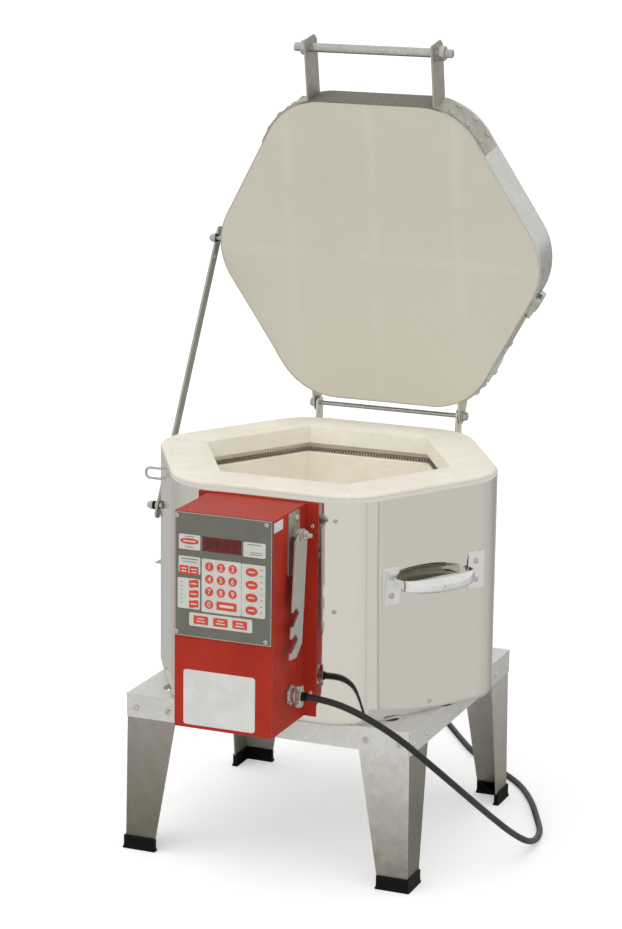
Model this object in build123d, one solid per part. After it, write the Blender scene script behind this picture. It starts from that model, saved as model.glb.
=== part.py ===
from build123d import *
import math
import os

# A six-sided electric craft kiln with its lid open, on a square sheet-metal stand.
# Millimetres, +Z up, the control box towards -Y, the hexagon's corners on +X and -X.
# It is built round the kiln's own axis with the feet on z = 0, and moved at the end
# so that the origin is the middle of the foot print of everything but the power cord.

# Stand
DECK_WIDTH = 404.0
DECK_TOP = 218.2
DECK_SHEET = 1.5
DECK_OPENING = 336.0
DECK_OPENING_RADIUS = 12.0
FLANGE_DEPTH = 32.2
CORNER_SEAM = 0.6
LEG_SHEET = 2.0
LEG_TOP_WIDTH = 70.0
LEG_FOOT_WIDTH = 41.0
LEG_SPLAY = 2.0
CAP_WALL = 3.0
CAP_HEIGHT = 19.0
STAND_SCREW_OFFSETS = (15.0, 61.0)
STAND_SCREW_DROP = 18.2
STAND_SCREW_BITE = 4.0

# Case and bricks
CASE_APOTHEM = 217.1
CASE_RADIUS = 81.0
CASE_SHEET = 0.7
CASE_HEIGHT = 300.4
BRICK_GAP = 0.2
BOTTOM_SHEET = 0.6
FLOOR_THICKNESS = 76.2
COURSE_HEIGHT = 114.3
CHAMBER_APOTHEM = 152.4
BRICK_EDGE_RADIUS = 4.0

# Heating elements, in grooves that run round the chamber
GROOVE_HEIGHTS = (99.8, 151.0, 208.2, 274.6)
GROOVE_WIDTH = 12.4
GROOVE_DEPTH = 10.0
ELEMENT_RADIUS = 3.2
ELEMENT_LIFT = 0.3
ELEMENT_CORNER = 8.0
ELEMENT_END = 9.0
TAIL_SPACING = 24.0
TAIL_RADIUS = 1.6
TUBE_RADIUS = 5.0
TUBE_BORE = 2.0
TUBE_REACH = 13.4
TAIL_REACH = 18.0
PROBE_HEIGHT = 171.8
PROBE_RADIUS = 4.0
PROBE_TIP = 125.0
PROBE_HEAD = (22.0, 12.0, 16.0)
PROBE_CLEARANCE = 0.2

# Control box
BOX_HEIGHTS = (227.0, 510.3)
BACK_PLATE_SPAN = (-89.5, 77.5)
BACK_PLATE_HEIGHTS = (BOX_HEIGHTS[0] + 1.0, BOX_HEIGHTS[1] + 1.7)
BACK_PLATE_SHEET = 1.5
BACK_PLATE_SCREWS_X = (-82.5, 69.5)
BACK_PLATE_SCREWS_Z = (BACK_PLATE_HEIGHTS[0] + 32.0, BACK_PLATE_HEIGHTS[1] - 30.8)
BOX_SPAN = (-75.0, 60.0)
BOX_DEPTH = 103.4
BOX_SHEET = 1.2
FACEPLATE_MARGIN = 1.5
FACEPLATE_HEIGHT = 161.3
FACEPLATE_TOP_MARGIN = 0.6
FACEPLATE_SHEET = 1.6
FACEPLATE_SCREW_INSET = 5.0
FACEPLATE_SCREWS_X = (-71.5, 51.0)
WINDOW_SPAN = (-36.0, 17.2)
WINDOW_HEIGHTS = (BOX_HEIGHTS[1] - 48.3, BOX_HEIGHTS[1] - 29.3)
WINDOW_LIP = 2.0
WINDOW_GAP = 0.1
PANEL_THICKNESS = 0.3
PANEL_RADIUS = 2.0
KEY_THICKNESS = 0.3
KEY_DIAMETER = 11.5
KEY_PITCH = 16.0
KEY_COLUMN = -26.4
KEY_ROWS = (BOX_HEIGHTS[1] - 67.7, BOX_HEIGHTS[1] - 83.9, BOX_HEIGHTS[1] - 100.1)
# The panels and the other keys below are placed by their drop from the box's top
KEYPAD_PANELS = (
    ((-68.5, -39.0), (48.5, 29.0)), ((19.8, 50.0), (49.1, 30.0)),
    ((-68.8, -38.8), (79.7, 57.4)), ((-70.0, -39.1), (125.6, 85.8)),
    ((-36.9, 17.3), (127.2, 57.9)), ((17.7, 50.1), (126.8, 58.3)),
    ((-54.0, 32.7), (147.4, 129.9)),
)
OTHER_KEYS = (
    (-53.8, 37.7, 20.0, 12.0), (-61.3, 74.6, 11.0, 8.5), (-47.5, 75.0, 11.0, 8.5),
    (-47.6, 92.3, 13.0, 9.0), (-47.6, 105.6, 13.0, 9.0), (-47.6, 118.7, 13.0, 9.0),
    (-26.7, 116.9, KEY_DIAMETER, KEY_DIAMETER), (-2.5, 116.9, 28.0, 11.3),
    (31.5, 68.3, 15.5, 11.5), (31.5, 84.8, 15.5, 11.5), (31.5, 101.4, 15.5, 11.5),
    (31.5, 117.7, 15.5, 11.5), (-37.8, 138.7, 20.0, 11.0), (-10.7, 138.7, 20.0, 11.0),
    (15.7, 138.7, 20.0, 11.0),
)
BLANK_PLATE_SPAN = (-62.3, 36.7)
BLANK_PLATE_HEIGHTS = (BOX_HEIGHTS[0] + 4.5,
                       BOX_HEIGHTS[1] - FACEPLATE_TOP_MARGIN - FACEPLATE_HEIGHT - 44.1)
BLANK_PLATE_THICKNESS = 0.5
BLANK_PLATE_RADIUS = 4.0
SIDE_LABEL_SIZE = (29.0, 13.0)
SIDE_LABEL_DROP = 9.8
SIDE_LABEL_THICKNESS = 0.2

# Inside the control box
BOARD_SIZE = (114.0, 140.0)
BOARD_THICKNESS = 1.6
BOARD_STANDOFF = 5.8
STANDOFF_RADIUS = 2.5
STANDOFF_INSET = 6.0
DISPLAY_MODULE_SIZE = (57.0, 22.0)
RELAY_SIZE = (30.0, 36.0, 38.0)
RELAY_PLACES = (-50.0, 32.0)
RELAY_RISE = 9.8
TRANSFORMER_SIZE = (46.0, 40.0, 42.0)
TRANSFORMER_MIDDLE = (4.0, 72.0)
TERMINAL_BLOCK_SIZE = (80.0, 20.0, 18.0)
TERMINAL_BLOCK_RISE = 112.8
TERMINALS = 5
TERMINAL_RADIUS = 3.0
TERMINAL_DEPTH = 6.0

# Strain relief and power cord
CORD_DIAMETER = 8.8
RELIEF_DEPTH = 47.4
RELIEF_HEIGHT = 269.5
RELIEF_FLANGE = 24.0
RELIEF_LENGTHS = (3.0, 7.0, 8.0)
CORD_ROUTE = (
    (110, -266, 269.5), (152, -266, 259), (203, -264, 235), (243, -240, 194),
    (268, -190, 146), (284, -120, 92), (296, -45, 40), (302, 15, 9), (297, 70, 4.4),
    (273, 125, 4.4), (246, 186, 4.4), (208, 248, 4.4), (158, 296, 4.4), (102, 350, 4.4),
    (58, 412, 4.4), (21, 466, 4.4),
)
COIL_MIDDLE = (-66.0, 483.0)
COIL_TURN_RADIUS = 60.0
COIL_LAYERS_RISE = 9.5
COIL_ENTRY_ANGLE = 31.0
LEAD_LENGTH = 46.0
PLUG_SIZE = (30.0, 42.0, 22.0)
BLADE_SIZE = (1.6, 17.0, 6.4)
BLADE_SPREAD = 12.7
GROUND_PIN_RADIUS = 2.4
GROUND_PIN_LENGTH = 20.0

# Vent prop on the right of the control box
PROP_PLATE_DEPTHS = (24.4, 59.4)
PROP_PLATE_HEIGHTS = (BOX_HEIGHTS[1] - 83.3, BOX_HEIGHTS[1] - 1.3)
PROP_PLATE_SHEET = 2.3
PROP_PIVOT = (-260.5, BOX_HEIGHTS[1] - 30.3)
PROP_LEAN = 5.8
PROP_GAP = 7.7
PROP_SHEET = 3.0
PROP_HALF_WIDTH = 18.0
PROP_HEAD_RADIUS = 7.5
PROP_LENGTH = 158.0
PROP_BOLT_REACH = 26.0
BOLT_RADIUS = 3.1
PIVOT_CLEARANCE = 0.05
FACE_CLEARANCE = 0.3

# Carry handles
HANDLE_HEIGHT = 179.8
HANDLE_PLATE = (50.0, 28.0)
HANDLE_PLATE_SHEET = 2.0
HANDLE_INNER_SPAN = 115.5
HANDLE_OFFSET = 8.75
GRIP_HEIGHT = 20.0
GRIP_REACH = 40.0
GRIP_SHEET = 1.5
GRIP_LIP = 6.0
GRIP_RUN_IN = 16.0
GRIP_RADIUS = 14.0
RIVET_RISE = 12.4

# Lid, described shut: its hot face lies just above the top course
LID_GAP = 0.3
LID_THICKNESS = 57.0
LID_APOTHEM = 217.5
LID_RADIUS = 94.0
LID_SHEET = 0.7
LID_OPEN_ANGLE = 79.5
STRAP_SHEET = 2.0
STRAP_WIDTH = 44.0
STRAP_MARGIN = 3.0
STRAP_RUN_ON = 20.0
ARM_MIDDLE = 91.5
ARM_TIP = 15.0
ARM_CHAMFER = 8.0
HANDLE_ROD_RADIUS = 6.35
HANDLE_ROD_LENGTH = 228.6
HANDLE_ROD_REACH = 67.9
HANDLE_ROD_RISE = 24.7
HANDLE_NUT_HEIGHT = 10.0
ROD_FIT = 0.1
STRAP_SCREW_TURNS = (30.5, 46.5, 63.0)
STRAP_SCREW_BITE = 6.0
STRAP_SCREW_INSET = 7.0
CLAMP_WIDTH = 12.0
CLAMP_SHEET = 0.8
CLAMP_RISES = (11.0, 38.0)
CLAMP_HOUSING = (24.0, 8.5)
CLAMP_TAIL = 27.0
CLAMP_SCREW_INSET = 6.0
CLAMP_SCREW_RADIUS = 3.6
CLAMP_SCREW_REACH = 6.0

# Hinge
HINGE_Y = 233.7
HINGE_Z = 540.2
HINGE_ROD_RADIUS = 3.175
HINGE_ROD_LENGTH = 238.5
POST_INSIDE = 104.0
POST_SHEET = 3.0
POST_ROUND = 10.0
POST_FOOT_HEIGHTS = (455.0, 515.0)
POST_FOOT_INSIDE = 56.0
POST_BACK = 5.4
EAR_INSIDE = 109.0
EAR_ROUND = 11.0

# Support arm on the left
ARM_PLANE = 249.0
ARM_SHEET = 3.0
ARM_WIDTH = 15.0
ARM_OVERHANG = 18.0
ARM_PIVOT_Z = 425.0
STUD_Y = -2.2
STUD_Z = 544.5
SPARE_HOLE_SPACING = 28.0
NOTCH_CLEARANCE = 0.4
STUD_TIP = 262.0
STUD_DEPTH = 14.0
BOLT_IN_NUT = 4.0
ARM_BOLT_TIP = 267.0
FRICTION_WASHER_RADIUS = 6.0
REST_STRIP_WIDTH = 16.0
REST_STRIP_SHEET = 1.5
REST_STRIP_HEIGHTS = (344.0, 414.0)
REST_SLOT_HEIGHTS = (350.0, 376.0)
REST_FOOT_REACH = 12.0
RING_PLATE_HEIGHTS = (458.0, 506.0)
RING_Y = -5.0
RING_WIRE = 1.8
RING_HEIGHTS = (464.5, 479.0)
RING_REACH = 29.0
RING_BEND = 6.5

# Case screws: one low on each bare side, and a column down the front right seam
SIDE_SCREW_ALONG = 6.9
SIDE_SCREW_RISE = 12.5
SEAM_SCREW_TURN = 15.0
SEAM_SCREW_RISES = (31.8, 151.8, 271.8)

# Fasteners
SCREW_HOLE_FIT = 0.1
PAN_HEAD = (4.2, 2.4)
SMALL_HEAD = (3.0, 1.6)
RIVET_HEAD = (4.0, 2.0)
SMALL_SHANK = 1.6
LARGE_SHANK = 2.2
NUT_ACROSS_FLATS = 11.0
NUT_HEIGHT = 5.0
WASHER_RADIUS = 8.25
WASHER_SHEET = 1.5

# Heights and faces that follow from the sizes above
DECK_HALF = DECK_WIDTH / 2
LEG_FACE = DECK_HALF - DECK_SHEET
FLANGE_BOTTOM = DECK_TOP - FLANGE_DEPTH
CASE_TOP = DECK_TOP + CASE_HEIGHT
CASE_INNER = CASE_APOTHEM - CASE_SHEET
CASE_INNER_RADIUS = CASE_RADIUS - CASE_SHEET
BRICK_APOTHEM = CASE_INNER - BRICK_GAP
BRICK_RADIUS = CASE_INNER_RADIUS - BRICK_GAP
CHAMBER_FLOOR = DECK_TOP + BOTTOM_SHEET + FLOOR_THICKNESS
COURSE_JOINT = CHAMBER_FLOOR + COURSE_HEIGHT
WALL_TOP = COURSE_JOINT + COURSE_HEIGHT
HOT_FACE = WALL_TOP + LID_GAP
LID_TOP = HOT_FACE + LID_THICKNESS
GROOVES = [DECK_TOP + height for height in GROOVE_HEIGHTS]
ELEMENT_LEVELS = [z - GROOVE_WIDTH / 2 + ELEMENT_LIFT + ELEMENT_RADIUS for z in GROOVES]
PROBE_Z = DECK_TOP + PROBE_HEIGHT
PLATE_FACE = -CASE_APOTHEM - BACK_PLATE_SHEET
BOX_FRONT = PLATE_FACE - BOX_DEPTH
PANEL_FACE = BOX_FRONT - FACEPLATE_SHEET
HANDLE_Z = DECK_TOP + HANDLE_HEIGHT
ROD_Y = -LID_APOTHEM - HANDLE_ROD_REACH
ROD_Z = HOT_FACE + HANDLE_ROD_RISE
STRAP_LOW = HOT_FACE + STRAP_MARGIN
STRAP_HIGH = STRAP_LOW + STRAP_WIDTH
SIXTY = math.radians(60)


def corner_reach(apothem, radius):
    """How far a rounded hexagon's corner reaches from the axis."""
    return (apothem - radius) / math.cos(SIXTY / 2) + radius


def corner_middle(apothem, radius):
    """Distance from the axis to the centre of a corner's arc."""
    return (apothem - radius) / math.cos(SIXTY / 2)


def flat_half(apothem, radius):
    """Half the straight part of one side of a rounded hexagon."""
    return (apothem - radius) * math.tan(SIXTY / 2)


def plate(x, y, z):
    """A box between two values on each axis."""
    size = Box(x[1] - x[0], y[1] - y[0], z[1] - z[0])
    return Pos((x[0] + x[1]) / 2, (y[0] + y[1]) / 2, (z[0] + z[1]) / 2) * size


def rod(start, end, radius):
    """A round bar between two points."""
    line = Vector(*end) - Vector(*start)
    place = Plane(origin=start, z_dir=line)
    return place * Cylinder(radius, line.length, align=(Align.CENTER, Align.CENTER, Align.MIN))


def ring(start, end, radius, bore):
    """A round bar with a hole along it."""
    return rod(start, end, radius) - rod(start, end, bore)


def raised(face, height):
    """A flat face on the XY plane given a height, upwards whichever way it was drawn."""
    return extrude(face, height, dir=(0, 0, 1))


def hex_bar(start, end, across):
    """A six-sided bar between two points."""
    line = Vector(*end) - Vector(*start)
    face = RegularPolygon(across / 2, 6, major_radius=False)
    return Plane(origin=start, z_dir=line) * raised(face, line.length)


def hex_nut(start, end, across, bore):
    """A six-sided nut between two points, with a plain hole."""
    return hex_bar(start, end, across) - rod(start, end, bore)


def acorn_nut(base, shoulder, tip, bolt_end):
    """A closed nut: hexagon, dome, and the blind hole that the bolt ends in."""
    solid = hex_bar(base, shoulder, NUT_ACROSS_FLATS) + dome(shoulder, tip, NUT_ACROSS_FLATS / 2 - 0.5)
    return solid - rod(base, bolt_end, BOLT_RADIUS)


def dome(start, end, radius):
    """The rounded closed end of an acorn nut, from its flat base to its tip."""
    line = Vector(*end) - Vector(*start)
    body = Sphere(radius) & Pos(0, 0, radius) * Box(2 * radius, 2 * radius, 2 * radius)
    stretched = scale(body, (1, 1, line.length / radius))
    return Plane(origin=start, z_dir=line) * stretched


def hexagon(apothem, radius=0.0):
    """A hexagon with corners on X, each rounded to the given radius."""
    face = RegularPolygon(apothem, 6, major_radius=False)
    return fillet(face.vertices(), radius) if radius else face


def prism(apothem, radius, low, high):
    """A hexagonal prism between two heights."""
    return Pos(0, 0, low) * raised(hexagon(apothem, radius), high - low)


def outline(points, low, high):
    """A plan outline raised between two heights."""
    return Pos(0, 0, low) * raised(Polygon(*points, align=None), high - low)


def side_outline(face, x_low, x_high):
    """A face drawn in (y, z), given thickness along X."""
    return Pos(x_low, 0, 0) * (Plane.YZ * raised(face, x_high - x_low))


def on_side(angle, solid):
    """Turns a piece made for the +X direction to the side that faces an angle."""
    return Rot(0, 0, angle) * solid


def tangent_point(point, middle, radius, turn):
    """Where a line from a point touches a circle, on the side that turn picks."""
    dx, dy = point[0] - middle[0], point[1] - middle[1]
    angle = math.atan2(dy, dx) + turn * math.acos(radius / math.hypot(dx, dy))
    return middle[0] + radius * math.cos(angle), middle[1] + radius * math.sin(angle)


def screw(seat, inward, head, shank, length):
    """A screw or rivet: its head outside the seat, its shank going inward."""
    direction = Vector(*inward).normalized()
    seat = Vector(*seat)
    top = seat - direction * head[1]
    body = rod(tuple(top), tuple(seat), head[0])
    rim = body.faces().sort_by(Axis(tuple(seat), tuple(direction)))[0].edges()
    return fillet(rim, head[1] * 0.45) + rod(tuple(seat), tuple(seat + direction * length), shank)


def screw_hole(seat, inward, shank, length):
    """The clearance hole for such a shank, open on both sides."""
    direction = Vector(*inward).normalized()
    seat = Vector(*seat)
    start = seat - direction * SCREW_HOLE_FIT
    end = seat + direction * (length + SCREW_HOLE_FIT)
    return rod(tuple(start), tuple(end), shank + SCREW_HOLE_FIT)


def leg_section(face, width):
    """The L of a leg in plan, its outer corner at (face, face)."""
    inner = face - LEG_SHEET
    return Polygon((face, face), (face - width, face), (face - width, inner), (inner, inner),
                   (inner, face - width), (face, face - width), align=None)


def stand_leg():
    """One leg, for the corner at +X +Y: upright inside the flanges, splayed below."""
    foot = Pos(0, 0, CAP_WALL) * leg_section(LEG_FACE + LEG_SPLAY, LEG_FOOT_WIDTH)
    knee = Pos(0, 0, FLANGE_BOTTOM) * leg_section(LEG_FACE, LEG_TOP_WIDTH)
    upright = raised(knee, DECK_TOP - DECK_SHEET - FLANGE_BOTTOM)
    return loft([foot.face(), knee.face()], ruled=True) + upright


def foot_cap():
    """A rubber cap for that leg, an L that the foot stands in."""
    face = LEG_FACE + LEG_SPLAY + CAP_WALL
    width = LEG_FOOT_WIDTH + 2 * CAP_WALL
    inner = face - LEG_SHEET - 2 * CAP_WALL
    shape = Polygon((face, face), (face - width, face), (face - width, inner), (inner, inner),
                    (inner, face - width), (face, face - width), align=None)
    return raised(shape, CAP_HEIGHT) - stand_leg()


def at_corners(solid):
    """The same piece at the four corners, named by where it stands."""
    across = mirror(solid, Plane.YZ)
    return {
        "rear_right": solid,
        "rear_left": across,
        "front_right": mirror(solid, Plane.XZ),
        "front_left": mirror(across, Plane.XZ),
    }


def make_stand(nodes):
    """The square deck, its four legs, their caps and screws."""
    drop = DECK_TOP - STAND_SCREW_DROP
    length = DECK_SHEET + LEG_SHEET + STAND_SCREW_BITE
    seats = []
    for angle in (0, 90, 180, 270):
        for offset in STAND_SCREW_OFFSETS:
            for sign in (-1, 1):
                seats.append((angle, (DECK_HALF, sign * (DECK_HALF - offset), drop)))
    screws = [on_side(a, screw(s, (-1, 0, 0), PAN_HEAD, LARGE_SHANK, length)) for a, s in seats]
    holes = [on_side(a, screw_hole(s, (-1, 0, 0), LARGE_SHANK, length)) for a, s in seats]

    opening = RectangleRounded(DECK_OPENING, DECK_OPENING, DECK_OPENING_RADIUS)
    top = Rectangle(DECK_WIDTH, DECK_WIDTH) - opening
    deck = Pos(0, 0, DECK_TOP - DECK_SHEET) * raised(top, DECK_SHEET)
    run = LEG_FACE - CORNER_SEAM
    for angle in (0, 90, 180, 270):
        flange = plate((LEG_FACE, DECK_HALF), (-run, run), (FLANGE_BOTTOM, DECK_TOP))
        deck += on_side(angle, flange)
    nodes["stand_deck"] = deck - holes
    for corner, leg in at_corners(stand_leg()).items():
        nodes["stand_leg_" + corner] = leg - holes
    nodes["foot_caps"] = list(at_corners(foot_cap()).values())
    nodes["stand_screws"] = screws


def wire_holes():
    """The openings that the element tails and the probe need through the front wall."""
    far = PLATE_FACE - 1.0
    holes = []
    for z in ELEMENT_LEVELS:
        for x in (-TAIL_SPACING / 2, TAIL_SPACING / 2):
            start = (x, -CHAMBER_APOTHEM - GROOVE_DEPTH, z)
            holes.append(rod(start, (x, far, z), TUBE_RADIUS + BRICK_GAP))
    start = (0, -CHAMBER_APOTHEM + 1.0, PROBE_Z)
    holes.append(rod(start, (0, far, PROBE_Z), PROBE_RADIUS + PROBE_CLEARANCE))
    return holes


def brick_course(low, high, holes, soften):
    """One course of six mitred bricks, grooved for the elements."""
    wall = prism(BRICK_APOTHEM, BRICK_RADIUS, low, high)
    if soften:
        wall = fillet(wall.faces().sort_by(Axis.Z)[-1].edges(), BRICK_EDGE_RADIUS)
    wall -= prism(CHAMBER_APOTHEM, 0, low, high)
    for z in GROOVES:
        if low < z < high:
            apothem = CHAMBER_APOTHEM + GROOVE_DEPTH
            wall -= prism(apothem, 0, z - GROOVE_WIDTH / 2, z + GROOVE_WIDTH / 2)
    wall -= holes
    reach = 2 * BRICK_APOTHEM
    bricks = []
    for k in range(6):
        ends = [(reach * math.cos(a * SIXTY), reach * math.sin(a * SIXTY)) for a in (k, k + 1)]
        bricks.append(wall & outline([(0, 0)] + ends, low, high))
    return bricks


def element(z):
    """One heating coil as a round bar round the chamber, with its two tails."""
    apothem = CHAMBER_APOTHEM + GROOVE_DEPTH / 2
    reach = apothem / math.cos(SIXTY / 2)
    turns = [-1, 0, 1, 2, 3, 4]
    corners = [(reach * math.cos(k * SIXTY), reach * math.sin(k * SIXTY), z) for k in turns]
    ends = [(ELEMENT_END, -apothem, z), (-ELEMENT_END, -apothem, z)]
    path = FilletPolyline(ends[0], *corners, ends[1], radius=ELEMENT_CORNER)
    start = Plane(origin=ends[0], z_dir=(1, 0, 0))
    coil = sweep(start * Circle(ELEMENT_RADIUS), path=path)
    for x in (-TAIL_SPACING / 2, TAIL_SPACING / 2):
        coil += rod((x, -apothem, z), (x, PLATE_FACE - TUBE_REACH - TAIL_REACH, z), TAIL_RADIUS)
    return coil


def make_body(nodes):
    """The case, floor, bricks, elements, their porcelain tubes and the probe."""
    holes = wire_holes()
    sheet = prism(CASE_APOTHEM, CASE_RADIUS, DECK_TOP, CASE_TOP)
    sheet -= prism(CASE_INNER, CASE_INNER_RADIUS, DECK_TOP, CASE_TOP)
    sheet -= holes
    nodes["case_wrap"] = sheet
    nodes["bottom_sheet"] = prism(BRICK_APOTHEM, BRICK_RADIUS, DECK_TOP, DECK_TOP + BOTTOM_SHEET)
    floor_low = DECK_TOP + BOTTOM_SHEET
    nodes["floor_slab"] = prism(BRICK_APOTHEM, BRICK_RADIUS, floor_low, CHAMBER_FLOOR)
    nodes["wall_bricks_lower"] = brick_course(CHAMBER_FLOOR, COURSE_JOINT, holes, False)
    nodes["wall_bricks_upper"] = brick_course(COURSE_JOINT, WALL_TOP, holes, True)
    nodes["heating_elements"] = [element(z) for z in ELEMENT_LEVELS]
    tubes = []
    for z in ELEMENT_LEVELS:
        for x in (-TAIL_SPACING / 2, TAIL_SPACING / 2):
            start = (x, -CHAMBER_APOTHEM - GROOVE_DEPTH, z)
            tubes.append(ring(start, (x, PLATE_FACE - TUBE_REACH, z), TUBE_RADIUS, TUBE_BORE))
    nodes["feedthrough_tubes"] = tubes
    head_y = PLATE_FACE - TUBE_REACH - TAIL_REACH
    probe = rod((0, -PROBE_TIP, PROBE_Z), (0, head_y, PROBE_Z), PROBE_RADIUS)
    width, depth, height = PROBE_HEAD
    block = plate((-width / 2, width / 2), (head_y - depth, head_y),
                  (PROBE_Z - height / 2, PROBE_Z + height / 2))
    nodes["thermocouple"] = probe + block


def panel(x, z, back, thickness, radius):
    """A thin rounded plate facing -Y, its back at the given depth."""
    face = RectangleRounded(x[1] - x[0], z[1] - z[0], radius)
    body = Plane.XZ * raised(face, thickness)
    return Pos((x[0] + x[1]) / 2, back, (z[0] + z[1]) / 2) * body


def key(x, z, width, height, back):
    """A thin key pad centred at (x, z), oval when its ends are fully round."""
    face = SlotOverall(width, height) if width > height else Circle(width / 2)
    return Pos(x, back, z) * (Plane.XZ * raised(face, KEY_THICKNESS))


def make_control_box(nodes):
    """The back plate, the red box, its faceplate, keys and screws, and what is inside."""
    holes = wire_holes()
    plate_seats = []
    for x in BACK_PLATE_SCREWS_X:
        for z in BACK_PLATE_SCREWS_Z:
            plate_seats.append((x, PLATE_FACE, z))
    into_case = BACK_PLATE_SHEET + CASE_SHEET
    inward = (0, 1, 0)
    plate_holes = [screw_hole(s, inward, SMALL_SHANK, into_case) for s in plate_seats]
    back = plate(BACK_PLATE_SPAN, (PLATE_FACE, -CASE_APOTHEM), BACK_PLATE_HEIGHTS)
    nodes["box_back_plate"] = back - (holes + plate_holes)
    nodes["case_wrap"] = nodes["case_wrap"] - plate_holes

    left, right = BOX_SPAN[0] + FACEPLATE_MARGIN, BOX_SPAN[1] - FACEPLATE_MARGIN
    top = BOX_HEIGHTS[1] - FACEPLATE_TOP_MARGIN
    bottom = top - FACEPLATE_HEIGHT
    face_seats = []
    for x in FACEPLATE_SCREWS_X:
        for z in (bottom + FACEPLATE_SCREW_INSET, top - FACEPLATE_SCREW_INSET):
            face_seats.append((x, PANEL_FACE, z))
    through = FACEPLATE_SHEET + BOX_SHEET
    face_holes = [screw_hole(s, inward, SMALL_SHANK, through) for s in face_seats]

    box = plate(BOX_SPAN, (BOX_FRONT, PLATE_FACE), BOX_HEIGHTS)
    box -= plate((BOX_SPAN[0] + BOX_SHEET, BOX_SPAN[1] - BOX_SHEET),
                 (BOX_FRONT + BOX_SHEET, PLATE_FACE),
                 (BOX_HEIGHTS[0] + BOX_SHEET, BOX_HEIGHTS[1] - BOX_SHEET))
    lip_span = (WINDOW_SPAN[0] - WINDOW_LIP, WINDOW_SPAN[1] + WINDOW_LIP)
    lip_heights = (WINDOW_HEIGHTS[0] - WINDOW_LIP, WINDOW_HEIGHTS[1] + WINDOW_LIP)
    room = WINDOW_GAP
    box -= plate((lip_span[0] - room, lip_span[1] + room), (BOX_FRONT, BOX_FRONT + BOX_SHEET),
                 (lip_heights[0] - room, lip_heights[1] + room))
    relief_y = PLATE_FACE - RELIEF_DEPTH
    box -= rod((BOX_SPAN[1] - BOX_SHEET, relief_y, RELIEF_HEIGHT),
               (BOX_SPAN[1], relief_y, RELIEF_HEIGHT), CORD_DIAMETER / 2 + 1.5)
    nodes["control_box"] = box - face_holes

    face = plate((left, right), (PANEL_FACE, BOX_FRONT), (bottom, top))
    face -= plate(WINDOW_SPAN, (PANEL_FACE, BOX_FRONT), WINDOW_HEIGHTS)
    nodes["control_faceplate"] = face - face_holes
    window = plate((WINDOW_SPAN[0] + room, WINDOW_SPAN[1] - room), (PANEL_FACE, BOX_FRONT),
                   (WINDOW_HEIGHTS[0] + room, WINDOW_HEIGHTS[1] - room))
    window += plate(lip_span, (BOX_FRONT, BOX_FRONT + BOX_SHEET), lip_heights)
    nodes["display_window"] = window
    screws = [screw(s, inward, SMALL_HEAD, SMALL_SHANK, through) for s in face_seats]
    screws += [screw(s, inward, SMALL_HEAD, SMALL_SHANK, into_case) for s in plate_seats]
    nodes["box_screws"] = screws

    top = BOX_HEIGHTS[1]
    panels = [(x, (top - low, top - high)) for x, (low, high) in KEYPAD_PANELS]
    nodes["keypad_panels"] = [panel(x, z, PANEL_FACE, PANEL_THICKNESS, PANEL_RADIUS) for x, z in panels]
    key_y = PANEL_FACE - PANEL_THICKNESS
    keys = [key(x, top - below, width, height, key_y) for x, below, width, height in OTHER_KEYS]
    for x in (KEY_COLUMN, KEY_COLUMN + KEY_PITCH, KEY_COLUMN + 2 * KEY_PITCH):
        keys += [key(x, z, KEY_DIAMETER, KEY_DIAMETER, key_y) for z in KEY_ROWS]
    nodes["keypad_keys"] = keys
    front_plate = panel(BLANK_PLATE_SPAN, BLANK_PLATE_HEIGHTS, BOX_FRONT,
                        BLANK_PLATE_THICKNESS, BLANK_PLATE_RADIUS)
    length, height = SIDE_LABEL_SIZE
    label_middle = BOX_HEIGHTS[1] - SIDE_LABEL_DROP
    label_z = (label_middle - height / 2, label_middle + height / 2)
    side_label = plate((BOX_SPAN[1], BOX_SPAN[1] + SIDE_LABEL_THICKNESS),
                       (BOX_FRONT + 0.5, BOX_FRONT + length), label_z)
    nodes["blank_plates"] = [front_plate, side_label]

    behind = BOX_FRONT + BOX_SHEET
    board_y = behind + BOARD_STANDOFF
    middle = (left + right) / 2
    centre_z = bottom + FACEPLATE_HEIGHT / 2
    half_x, half_z = BOARD_SIZE[0] / 2, BOARD_SIZE[1] / 2
    board = plate((middle - half_x, middle + half_x), (board_y, board_y + BOARD_THICKNESS),
                  (centre_z - half_z, centre_z + half_z))
    inset = STANDOFF_INSET
    for x in (middle - half_x + inset, middle + half_x - inset):
        for z in (centre_z - half_z + inset, centre_z + half_z - inset):
            board += rod((x, behind, z), (x, board_y, z), STANDOFF_RADIUS)
    nodes["controller_board"] = board
    window_x = (WINDOW_SPAN[0] + WINDOW_SPAN[1]) / 2
    window_z = (WINDOW_HEIGHTS[0] + WINDOW_HEIGHTS[1]) / 2
    half_x, half_z = DISPLAY_MODULE_SIZE[0] / 2, DISPLAY_MODULE_SIZE[1] / 2
    nodes["display_module"] = plate((window_x - half_x, window_x + half_x),
                                    (behind + BRICK_GAP, board_y),
                                    (window_z - half_z, window_z + half_z))
    width, depth, height = RELAY_SIZE
    floor_z = BOX_HEIGHTS[0] + BOX_SHEET
    relay_z = (floor_z + RELAY_RISE, floor_z + RELAY_RISE + height)
    relays = []
    for x in RELAY_PLACES:
        relays.append(plate((x - width / 2, x + width / 2), (PLATE_FACE - depth, PLATE_FACE), relay_z))
    nodes["power_relays"] = relays
    width, depth, height = TRANSFORMER_SIZE
    x, y = TRANSFORMER_MIDDLE[0], PLATE_FACE - TRANSFORMER_MIDDLE[1]
    core = plate((x - width / 2, x + width / 2), (y - depth / 4, y + depth / 4),
                 (floor_z, floor_z + height))
    core += plate((x - width / 4, x + width / 4), (y - depth / 2, y + depth / 2),
                  (floor_z + height / 5, floor_z + height * 0.8))
    nodes["transformer"] = core
    width, depth, height = TERMINAL_BLOCK_SIZE
    z = floor_z + TERMINAL_BLOCK_RISE
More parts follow.
